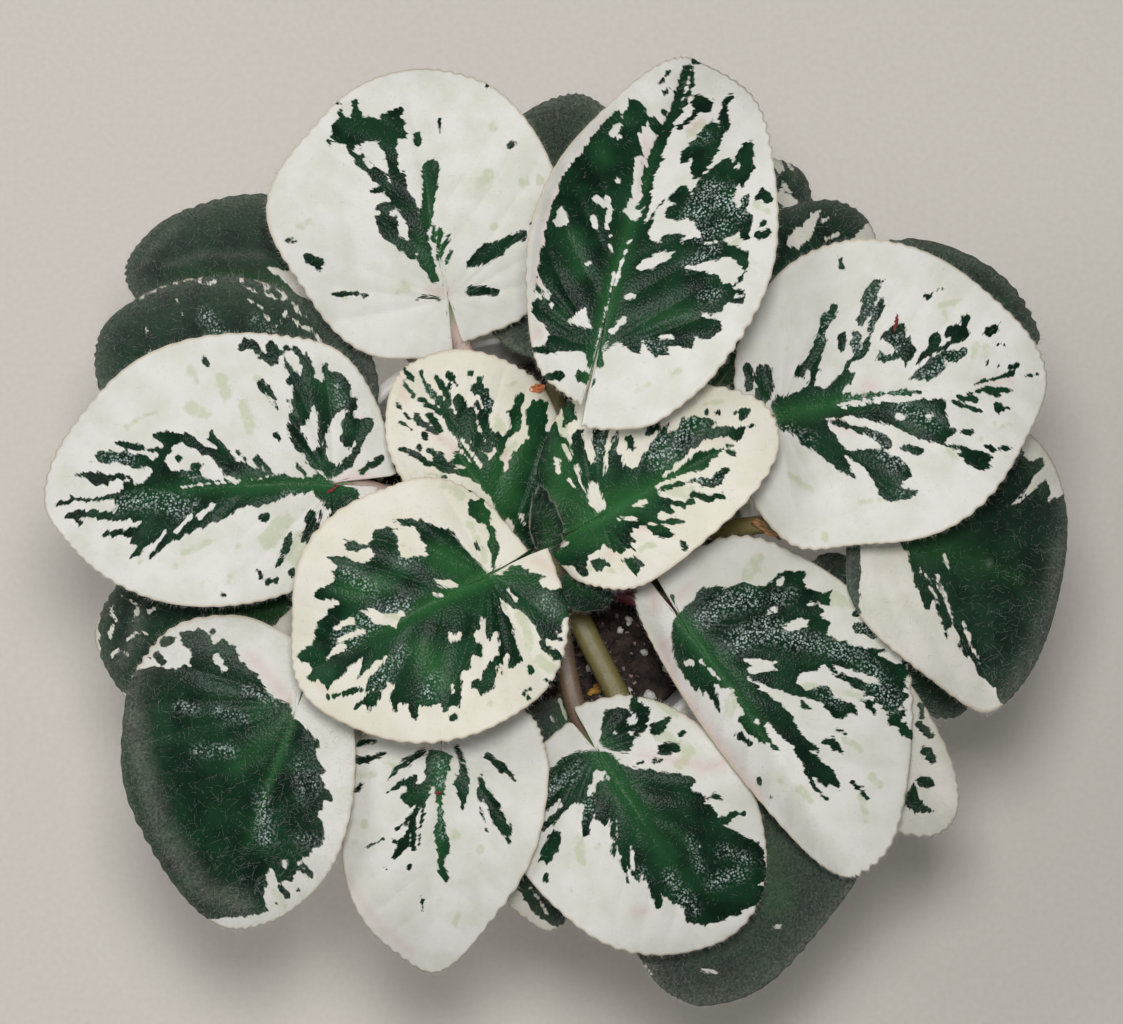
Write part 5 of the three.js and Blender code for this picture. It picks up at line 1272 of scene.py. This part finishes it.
grow_leaf(
    "leaf_south_east", (14, -45, 100), (41, -86, 93), 94.6, half=(23, 27.5), widest=(0.38, 0.32),
    lobe=(10, 8), taper=(-0.3, 0.15), lift=(-1.5, -4), turn=-8, seed=10, **PALE, stalk_material=BROWN_STALK,
    rib_width=3,
    painted_glint=[(8, 6, 550, 790, 580, 768), (7, 6, 568, 826, 590, 806), (6, 7, 670, 876, 692, 908),
     (7, 6, 712, 882, 742, 872), (5, 5, 722, 850, 748, 860), (4, 4, 640, 872, 645, 880),
     (3, 3, 690, 840, 700, 870)],
    patches=[(598, 750, 575, 752, 562, 758, 552, 768, 545, 778, 541, 790, 537, 808, 545, 808, 548, 813,
     553, 806, 560, 800, 558, 808, 553, 815, 544, 822, 540, 830, 546, 830, 556, 822, 565, 812, 574, 803,
     585, 805, 582, 815, 583, 836, 588, 834, 590, 825, 595, 815, 600, 825, 607, 825, 613, 812, 616, 822,
     618, 835, 616, 845, 618, 855, 624, 860, 628, 866, 632, 875, 637, 883, 640, 878, 640, 870, 645, 880,
     650, 890, 652, 900, 656, 908, 661, 913, 663, 905, 660, 892, 667, 898, 672, 903, 682, 905, 684, 915,
     688, 922, 705, 925, 725, 919, 735, 915, 745, 910, 757, 904, 765, 896, 768, 888, 758, 884, 766, 878,
     767, 870, 765, 862, 763, 850, 758, 843, 750, 838, 740, 833, 730, 830, 722, 825, 718, 815, 713, 807,
     706, 803, 703, 797, 695, 793, 690, 787, 697, 783, 695, 778, 685, 776, 675, 774, 660, 772, 650, 769,
     634, 770, 622, 764, 612, 755), (604, 712, 612, 708, 622, 708, 630, 712, 630, 700, 635, 692, 640, 703,
     650, 708, 648, 720, 646, 730, 640, 737, 635, 738, 633, 745, 628, 753, 618, 752, 605, 748, 600, 742,
     601, 728), (650, 735, 655, 738, 663, 733, 669, 722, 671, 716, 662, 719, 655, 723, 650, 725), (657, 754,
     658, 747, 664, 743, 672, 742, 680, 745, 681, 750, 675, 753, 665, 757), (548, 835, 555, 830, 562, 832,
     562, 842, 557, 852, 550, 862, 545, 866, 543, 860, 539, 861, 541, 850, 545, 842)],
    green=[(4, 2, 614, 815, 614, 835, 615, 857), (3, 1, 622, 860, 626, 872, 628, 882), (3.5, 3, 682, 734),
     (2, 2, 655, 762, 661, 761), (2, 3, 706, 797, 712, 797, 718, 797), (5, 3, 716, 820, 727, 820, 735, 812),
     (2, 2, 743, 813), (1.5, 1, 690, 793, 701, 794), (3, 2, 537, 818, 533, 828, 528, 833),
     (2.5, 2, 547, 876, 547, 881), (2, 1, 634, 766, 644, 762), (3, 3, 655, 760), (5, 3, 538, 815, 530, 830)],
    islands=[(591, 773, 597, 770, 602, 773, 602, 780, 597, 783, 594, 790, 592, 797, 587, 797, 588, 790,
     593, 782), (632, 712, 637, 716, 636, 724, 630, 726, 627, 720)],
    white=[(1.5, 1.5, 606, 773, 608, 780), (2.5, 2, 615, 733), (2, 2, 631, 734),
     (1.5, 1.5, 630, 845, 634, 870), (1.5, 1, 700, 845), (2, 1.5, 552, 812, 560, 806), (1.5, 1.5, 640, 735)],
    pale=[(6, 5, 578, 840, 582, 860), (6, 6, 690, 755, 680, 765), (5, 4, 598, 846),
     (7, 6, 660, 735, 690, 750), (5, 5, 660, 705, 675, 715), (4, 3, 572, 890)],
    blush=[(5, 5, 700, 770, 730, 760), (6, 5, 680, 705, 710, 730), (3, 3, 634, 911, 646, 910),
     (4, 4, 640, 755, 700, 765)],
    glow=[(12, 12, 600, 758, 622, 780), (10, 8, 622, 780, 645, 805), (7, 4, 645, 805, 690, 845)])
grow_leaf(
    "leaf_east_south", (33, -18, 99), (72, -73, 90), 94, half=(36.5, 10), widest=(0.37, 0.3), lobe=(14, 14),
    taper=(0.35, 0.1), lift=(-4, 5), seed=11, **PALE, stalk_material=RED_STALK,
    painted_glint=[(10, 12, 704, 618, 726, 602, 752, 598), (12, 12, 735, 642, 765, 630, 795, 638),
     (9, 8, 800, 640, 858, 656), (12, 9, 868, 672, 892, 702), (7, 6, 775, 600, 790, 595),
     (7, 5, 822, 690, 838, 702), (5, 5, 858, 628, 876, 632)],
    # Painted shade on the narrow folded strip, over a grey hair tint.
    dust_sheen_shade_marks=[(7, 9, 650, 572, 652, 600, 658, 640, 668, 680), (9, 7, 668, 680, 690, 715, 715, 745),
     (7, 5, 715, 745, 740, 775, 758, 800)],
    patches=[(675, 618, 680, 612, 690, 603, 697, 593, 705, 588, 713, 586, 725, 588, 735, 585, 742, 582,
     750, 585, 765, 586, 770, 584, 772, 578, 778, 574, 786, 571, 792, 573, 805, 571, 808, 574, 803, 578,
     807, 588, 815, 592, 825, 594, 832, 590, 828, 598, 829, 606, 820, 606, 823, 612, 818, 616, 825, 618,
     830, 623, 828, 630, 826, 636, 838, 640, 850, 644, 862, 648, 880, 650, 888, 649, 887, 652, 875, 655,
     885, 658, 893, 662, 900, 663, 908, 656, 908, 662, 903, 667, 912, 672, 914, 677, 905, 677, 902, 682,
     908, 686, 903, 690, 908, 696, 905, 700, 900, 705, 897, 710, 907, 710, 905, 717, 898, 718, 905, 723,
     910, 730, 918, 737, 914, 742, 908, 740, 902, 735, 895, 728, 888, 724, 886, 718, 893, 712, 886, 712,
     878, 705, 872, 698, 862, 692, 850, 686, 838, 678, 824, 665, 820, 668, 808, 672, 800, 675, 797, 682,
     806, 690, 817, 688, 820, 685, 827, 686, 832, 692, 832, 698, 842, 700, 850, 702, 856, 708, 857, 714,
     850, 713, 844, 718, 835, 719, 830, 715, 825, 708, 820, 702, 812, 700, 800, 696, 790, 696, 778, 690,
     765, 685, 748, 679, 752, 682, 762, 690, 775, 700, 785, 708, 792, 718, 796, 725, 800, 733, 808, 740,
     820, 748, 818, 752, 808, 750, 815, 755, 822, 760, 830, 768, 835, 775, 840, 785, 839, 790, 833, 785,
     828, 780, 826, 787, 818, 782, 813, 778, 816, 786, 822, 793, 828, 801, 820, 795, 812, 787, 806, 775,
     802, 765, 798, 755, 790, 745, 783, 738, 775, 730, 768, 722, 765, 725, 768, 735, 774, 742, 781, 750,
     775, 750, 766, 742, 762, 738, 766, 745, 760, 743, 755, 738, 748, 735, 742, 728, 738, 722, 738, 718,
     744, 716, 742, 710, 737, 700, 735, 690, 722, 688, 714, 685, 718, 700, 719, 712, 716, 710, 710, 700,
     706, 693, 703, 697, 698, 688, 695, 694, 688, 684, 680, 674, 673, 660, 671, 640, 672, 625)],
    green=[(5, 3, 739, 736, 744, 740, 749, 744), (1, 1.5, 791, 745, 796, 752, 801, 758),
     (3, 5, 855, 615, 861, 611), (5, 3, 861, 611, 867, 607), (6, 9, 859, 628, 872, 630),
     (7, 4, 872, 630, 884, 632), (2.5, 2, 857, 594, 855, 598), (3, 1.5, 802, 704, 810, 709),
     (2, 4, 860, 700, 868, 704), (4, 2, 868, 704, 874, 713), (2, 4, 823, 741, 832, 743),
     (5, 2, 832, 743, 842, 752), (2, 1, 836, 728, 845, 734), (1.5, 3, 852, 782, 860, 790),
     (3, 2, 860, 790, 866, 798), (2.5, 2, 757, 780, 758, 785), (2.5, 2, 771, 798, 768, 805),
     (2, 2, 918, 688), (3, 3, 671, 598, 672, 604)],
    islands=[(743, 659, 755, 659, 762, 661, 770, 662, 778, 661, 772, 665, 776, 670, 765, 673, 750, 673,
     746, 671, 750, 666), (782, 627, 788, 622, 797, 619, 808, 621, 806, 628, 795, 631, 783, 630), (830, 664,
     842, 667, 852, 671, 862, 673, 872, 677, 880, 682, 878, 685, 868, 684, 858, 680, 848, 676, 840, 672)],
    white=[(2, 2, 768, 611, 776, 610), (3, 2.5, 779, 583, 782, 580), (1, 1.5, 808, 605, 818, 604),
     (2.5, 2, 757, 721, 758, 723), (1.2, 0.8, 748, 679, 775, 690, 790, 697), (3, 3, 686, 664, 692, 664),
     (1, 1, 700, 662, 720, 680)],
    pale=[(8, 7, 748, 575, 758, 560), (6, 4, 800, 790, 810, 800), (6, 5, 872, 778, 878, 785),
     (8, 6, 835, 600, 850, 605), (6, 5, 820, 690, 805, 686), (5, 4, 846, 740, 860, 750),
     (4, 4, 860, 795, 866, 820), (4, 4, 780, 780), (6, 6, 735, 690, 728, 715), (4, 4, 862, 698, 845, 692)],
    blush=[(6, 5, 650, 575, 655, 610), (7, 7, 662, 645, 676, 690), (7, 7, 676, 690, 700, 720, 725, 755),
     (7, 5, 725, 755, 758, 798), (3, 3, 672, 600, 690, 585)],
    glow=[(12, 9, 690, 636, 725, 662), (8, 6, 725, 662, 745, 685)])

# --- Older leaves --------------------------------------------------------------------------------
# Thirteen older leaves spread out under the ring: mostly plain dark green, with a grey hairy look that is
# partly a painted sheen along their margins.
OLD = dict(skin=GREEN_SKIN, slot="leaf_dark_green", dip=1, around=176, rings=36, margin_sheen=0.45,
           hairiness=11, hair_length=2.8)
WHOLE = dict(OLD, stalk_material=OLIVE_STALK, whole=True, stalk=2)
grow_leaf(
    "leaf_old_north_west", (-41, 54, 93), (-91, 66, 84), 87, half=(18, 20), seed=12, **WHOLE, dust_sheen_and_shade=0.08,
    islands=[(268, 268, 296, 272, 318, 290, 330, 300, 360, 350, 330, 350, 306, 304, 288, 286),
     (214, 190, 236, 178, 262, 170, 262, 178, 238, 186, 220, 196)],
    dust_sheen_shade_marks=[(6, 9, 135, 275, 150, 250, 180, 222), (3, 3, 165, 266, 205, 254, 262, 256),
     (5, 5, 200, 205, 262, 178)])
grow_leaf(
    "leaf_old_west", (-44, 28, 95), (-97, 47, 88), 83, half=(26, 24), seed=13, **WHOLE, dust_sheen_and_shade=0.05,
    dust_sheen_shade_marks=[(5, 5, 100, 380, 108, 335, 130, 300)],
    painted_glint=[(6, 7, 205, 315, 222, 336), (3, 2, 255, 320, 275, 335)],
    white=[(1.5, 1.5, 140, 298, 158, 288, 172, 282), (1.2, 1.2, 175, 283, 196, 276, 222, 272),
     (1.2, 1, 226, 272, 250, 276, 274, 288), (1.2, 1, 196, 278, 205, 284, 216, 282),
     (1.2, 1, 240, 276, 246, 288, 256, 292), (1.5, 1, 262, 282, 268, 296, 284, 300),
     (1.2, 1, 276, 290, 290, 300, 304, 318), (1.2, 1, 292, 318, 300, 328, 312, 330),
     (1, 0.6, 178, 300, 184, 316), (1, 0.8, 286, 312, 280, 326, 270, 330),
     (1.2, 1, 250, 300, 262, 308, 268, 320), (1, 1, 148, 330, 150, 348, 147, 362),
     (1, 1, 305, 325, 320, 340, 328, 356), (1.5, 1.2, 108, 392, 112, 400)])
grow_leaf(
    "leaf_old_west_south", (-45, -12, 90.8), (-97, -22, 81), 82, half=(26, 22), lobe=(1, 8), lift=(-4.5, 0),
    seed=14, **WHOLE,
    islands=[(90, 590, 99, 600, 100, 640, 102, 676, 118, 690, 130, 696, 120, 725, 90, 700)],
    white=[(2, 1, 112, 606, 116, 620, 110, 640), (1.5, 1, 124, 596, 140, 606, 134, 622),
     (1.5, 1, 150, 612, 160, 604), (1.5, 1, 128, 640, 138, 632, 148, 634),
     (1.5, 1, 112, 655, 122, 650, 130, 656)],
    dust_sheen_shade_marks=[(5, 7, 140, 610, 135, 640, 120, 665)])
grow_leaf(
    "leaf_old_south_west", (-41, -21, 94), (-64, -55, 84), 87, half=(18, 16), seed=15, stalk=2,
    stalk_material=OLIVE_STALK, **OLD,
    green=[(5, 4, 238, 616, 250, 602, 262, 588), (2, 1, 238, 622, 252, 612, 262, 600),
     (3, 3, 262, 626, 263, 631)])
grow_leaf(
    "leaf_old_north", (6, 50, 94), (10, 104, 86), 86, half=(22, 20), seed=16, **WHOLE, dust_sheen_and_shade=0.2)
grow_leaf(
    "leaf_old_north_east", (33, 46, 91), (59, 89, 79.5), 82.5, half=(20, 17), turn=6, seed=17,
    **dict(WHOLE, dip=-2),
    islands=[(752, 132, 772, 142, 778, 158, 784, 170, 776, 176, 768, 160, 756, 150),
     (770, 196, 782, 190, 796, 200, 800, 212, 790, 214, 780, 206)],
    white=[(2, 2, 782, 182, 790, 196), (1.5, 1.5, 772, 214, 786, 222, 794, 232), (2, 1, 764, 226, 776, 236),
     (1.5, 1, 786, 160, 792, 172)])
grow_leaf(
    "leaf_old_east_north", (44, 39, 95.2), (74, 76, 86.8), 86, half=(20, 18), lift=(0.5, -1), turn=-6,
    seed=18, **WHOLE,
    islands=[(786, 246, 790, 236, 804, 224, 812, 214, 822, 210, 816, 222, 812, 236, 800, 250), (846, 250,
     852, 238, 862, 228, 872, 222, 900, 240, 890, 262, 860, 262)],
    white=[(1.5, 1, 822, 222, 834, 216), (1.5, 1, 826, 240, 842, 232)],
    green=[(2, 1, 790, 240, 800, 232)])
grow_leaf(
    "leaf_old_east_high", (66, 32, 99.4), (112, 46, 97.4), 90.6, half=(26, 8), turn=-4, seed=19,
    **dict(WHOLE, dip=0),
    swells=[(905, 242, 4, 60), (965, 280, 2.5, 50)])
grow_leaf(
    "leaf_old_east", (73, 3, 101), (117, -9, 88), 84, half=(32, 30), widest=(0.5, 0.7), lobe=(8, 4),
    taper=(0, 0), lift=(-2, 2), arch=3, turn=8, seed=20, rib_width=4, **WHOLE,
    islands=[(860, 520, 895, 540, 906, 552, 912, 575, 920, 598, 927, 614, 932, 600, 940, 622, 946, 638,
     950, 625, 957, 632, 958, 645, 963, 655, 972, 660, 975, 672, 985, 682, 995, 690, 1003, 705, 990, 740,
     940, 720, 860, 680), (1010, 430, 1020, 448, 1027, 461, 1041, 457, 1045, 462, 1038, 470, 1030, 482,
     1012, 506, 1022, 500, 1038, 484, 1044, 478, 1050, 490, 1047, 502, 1054, 498, 1070, 495, 1066, 450,
     1030, 415)],
    white=[(2, 1, 936, 578, 946, 600, 952, 620), (1.5, 1, 944, 556, 950, 574),
     (1.5, 1, 918, 568, 930, 584, 938, 606), (1.5, 1, 962, 622, 970, 644, 980, 664)],
    # Painted sheen: the grey hairy band along the right margin.
    dust_sheen_shade_marks=[(14, 10, 1010, 700, 1035, 655, 1052, 600, 1060, 540)],
    swells=[(985, 700, 2, 40)],
    glow=[(12, 12, 915, 542, 945, 548), (12, 8, 945, 548, 985, 566, 1015, 578)])
grow_leaf(
    "leaf_old_east_south", (57, -21, 93), (93, -61, 82), 86, half=(13, 18), lift=(0, 2), turn=-10, seed=21,
    stalk=2, stalk_material=OLIVE_STALK, **OLD,
    patches=[(912, 780, 918, 793, 923, 802, 933, 811, 918, 813, 903, 806, 900, 796, 908, 792)],
    green=[(5, 4, 925, 750, 932, 760), (5, 5, 921, 780, 930, 784), (3, 3, 920, 705, 922, 715),
     (4, 4, 919, 725, 930, 735)])
grow_leaf(
    "leaf_old_east_low", (66, -11, 90), (97, -35, 79), 80.5, half=(12, 12), turn=-6, seed=22,
    **dict(WHOLE, dip=-9))
grow_leaf(
    "leaf_old_south_east", (28, -56, 94), (37, -100, 78), 88, half=(43, 14), lift=(-5, 0), seed=23,
    dust_sheen_and_shade=0.26, **dict(WHOLE, dip=0, stalk=2.6),
    white=[(2, 1, 640, 962, 652, 974), (1.5, 1, 650, 950, 662, 956), (1.2, 1, 700, 968, 716, 972),
     (1, 1, 770, 930, 782, 924)],
    islands=[(612, 936, 632, 950, 640, 968, 650, 984, 636, 990, 618, 960)],
    glow=[(26, 20, 760, 860, 775, 900)])
grow_leaf(
    "leaf_old_south", (8, -43, 91), (3, -84, 82), 82, half=(11, 16), seed=24, **WHOLE,
    islands=[(498, 866, 512, 876, 520, 892, 534, 912, 552, 926, 575, 930, 590, 945, 530, 945, 498, 900)],
    white=[(1.5, 1, 560, 700, 566, 716, 572, 728), (1.5, 1, 548, 712, 556, 726),
     (1.5, 1, 576, 700, 584, 714), (1, 1, 530, 886, 540, 900, 548, 914)],
    pale=[(8, 8, 556, 706, 566, 728)])

# --- Young leaves --------------------------------------------------------------------------------
# Two leaves still unfolding at the crown's tip, dark green under a coat of long white hairs.
YOUNG = dict(skin=GREEN_SKIN, slot="leaf_dark_green", stalk_material=RED_STALK, whole=True,
             lobe=(2, 2), lift=(2, 2), arch=1, wave=0.3, stalk=1, dip=2, around=72, rings=10,
             quilt=0.1)
grow_leaf(
    "leaf_young_north", (4, -2, 108), (2, 10, 114), 102, half=(3.5, 3.5), seed=25, **YOUNG)
grow_leaf(
    "leaf_young_south_east", (9, -8, 103), (17, -14, 103), 101, half=(6, 6), seed=26, **YOUNG)

# --- Dry scraps ----------------------------------------------------------------------------------
# Bits of old leaf and flower that fell on the soil, the pot's rim and the leaves, and dried there:
# thin, papery and curled, yellow to orange-brown. They lie where they landed.
FLAKE_STEPS = 12
FLAKE_LIFT = 0.25
FLAKE_THICKNESS = 0.12
STREAK = 0.4


def dry_tissue(name, main, dark):
    """Dead plant skin, shrunk as it dried: streaks along it give the papery, fibrous look."""
    material, tree, shader = new_material(name)
    place = add(tree, "Attribute", out="Vector", attribute_name="flake_place")
    streaks = add(tree, "TexNoise", {"Vector": place, "Scale": 1 / STREAK, "Detail": 4})
    tone = add(tree, "MapRange", {"Value": streaks, "From Min": 0.38, "From Max": 0.62})
    colour = add(tree, "Mix", {0: tone, 6: linear(main), 7: linear(dark)}, data_type="RGBA")
    bump = add(tree, "Bump", {"Height": streaks, "Strength": 0.7, "Distance": 0.15 * MM})
    feed(tree, shader, {"Base Color": colour, "Normal": bump, "Roughness": 0.7})
    return material


def resting_place(piece_name, x, y):
    """The point of a piece's upper side that shows nearest to a place in the photo's pixels."""
    mesh = bpy.data.objects[piece_name].data
    points = np.zeros(len(mesh.vertices) * 3)
    mesh.vertices.foreach_get("co", points)
    points = points.reshape(-1, 3) / MM
    away = np.linalg.norm(photo_place(points) - (x, y), axis=1)
    near = points[away < away.min() + 2]
    return near[near[:, 2].argmax()]


def lay_flake(name, under, x, y, heading, length, width, curl, skin):
    """One curled flake: pointed at both ends, folded along its middle and bent along its length."""
    draw = np.random.default_rng(int(x + y))
    share = np.linspace(0, 1, FLAKE_STEPS + 1)
    along = (share - 0.5) * length
    half_width = width / 2 * np.sin(math.pi * (0.08 + 0.84 * share)) * draw.uniform(
        0.7, 1.1, FLAKE_STEPS + 1)
    rise = curl * (2 * share - 1) ** 2 + draw.normal(0, 0.06, FLAKE_STEPS + 1)
    drift = draw.normal(0, 0.12, FLAKE_STEPS + 1) + 0.1 * length * (share - 0.5) ** 2
    rows = []
    for side, lift in ((-1, 0.35), (-0.45, 0.05), (0, 0), (0.45, 0.05), (1, 0.3)):
        rows.append(np.stack([along, drift + side * half_width, rise + lift * half_width], 1))
    flat = np.stack(rows, 1).reshape(-1, 3)
    turn = math.radians(heading)
    spin = np.array([[math.cos(turn), math.sin(turn), 0], [-math.sin(turn), math.cos(turn), 0],
                     [0, 0, 1]])
    points = flat @ spin + resting_place(under, x, y) + UP * FLAKE_LIFT
    top = [(5 * i + k, 5 * i + 5 + k, 5 * i + 6 + k, 5 * i + 1 + k)
           for i in range(FLAKE_STEPS) for k in range(4)]
    count = len(points)
    faces = top + [tuple(i + count for i in reversed(face)) for face in top]
    edge = [5 * i for i in range(FLAKE_STEPS + 1)] + [5 * FLAKE_STEPS + k for k in range(1, 5)]
    edge += [5 * i + 4 for i in reversed(range(FLAKE_STEPS))] + [3, 2, 1]
    faces += [(b, a, a + count, b + count) for a, b in zip(edge, edge[1:] + edge[:1])]
    points = np.concatenate([points, points - UP * FLAKE_THICKNESS])
    flake = new_piece(name, points, faces, [skin])
    layer = flake.data.attributes.new("flake_place", "FLOAT_VECTOR", "POINT")
    layer.data.foreach_set("vector", np.tile(flat * (0.3, 1, 1), (2, 1)).ravel())
    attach(flake, "root")


YELLOW_TISSUE = dry_tissue("dried_yellow_leaf", "#D9A63C", "#9A6A22")
TAN_TISSUE = dry_tissue("dried_tan_leaf", "#B98A58", "#6B4526")
ORANGE_TISSUE = dry_tissue("dried_orange_flower", "#D98A52", "#A5502A")
RED_TISSUE = dry_tissue("dried_red_flower", "#8A2E28", "#4E1517")
lay_flake("scrap_yellow", "peat_mix", 601, 688, 35, 5.4, 2.2, 0.7, YELLOW_TISSUE)
lay_flake("scrap_over_rim", "leaf_old_east", 786, 535, -20, 12, 3.4, 0.8, TAN_TISSUE)
lay_flake("scrap_on_centre_leaf", "leaf_centre_north", 549, 388, 15, 3.6, 2, 0.5, ORANGE_TISSUE)
lay_flake("scrap_on_east_leaf", "leaf_east", 903, 302, 80, 4, 0.9, 0.3, RED_TISSUE)
lay_flake("scrap_on_west_leaf", "leaf_west", 331, 488, 35, 3.2, 0.8, 0.3, RED_TISSUE)
lay_flake("scrap_on_south_leaf", "leaf_south", 433, 792, 10, 1.6, 0.8, 0.2, RED_TISSUE)
lay_flake("scrap_by_crown", "crown_stem", 590, 598, 30, 4, 1, 0.5, ORANGE_TISSUE)
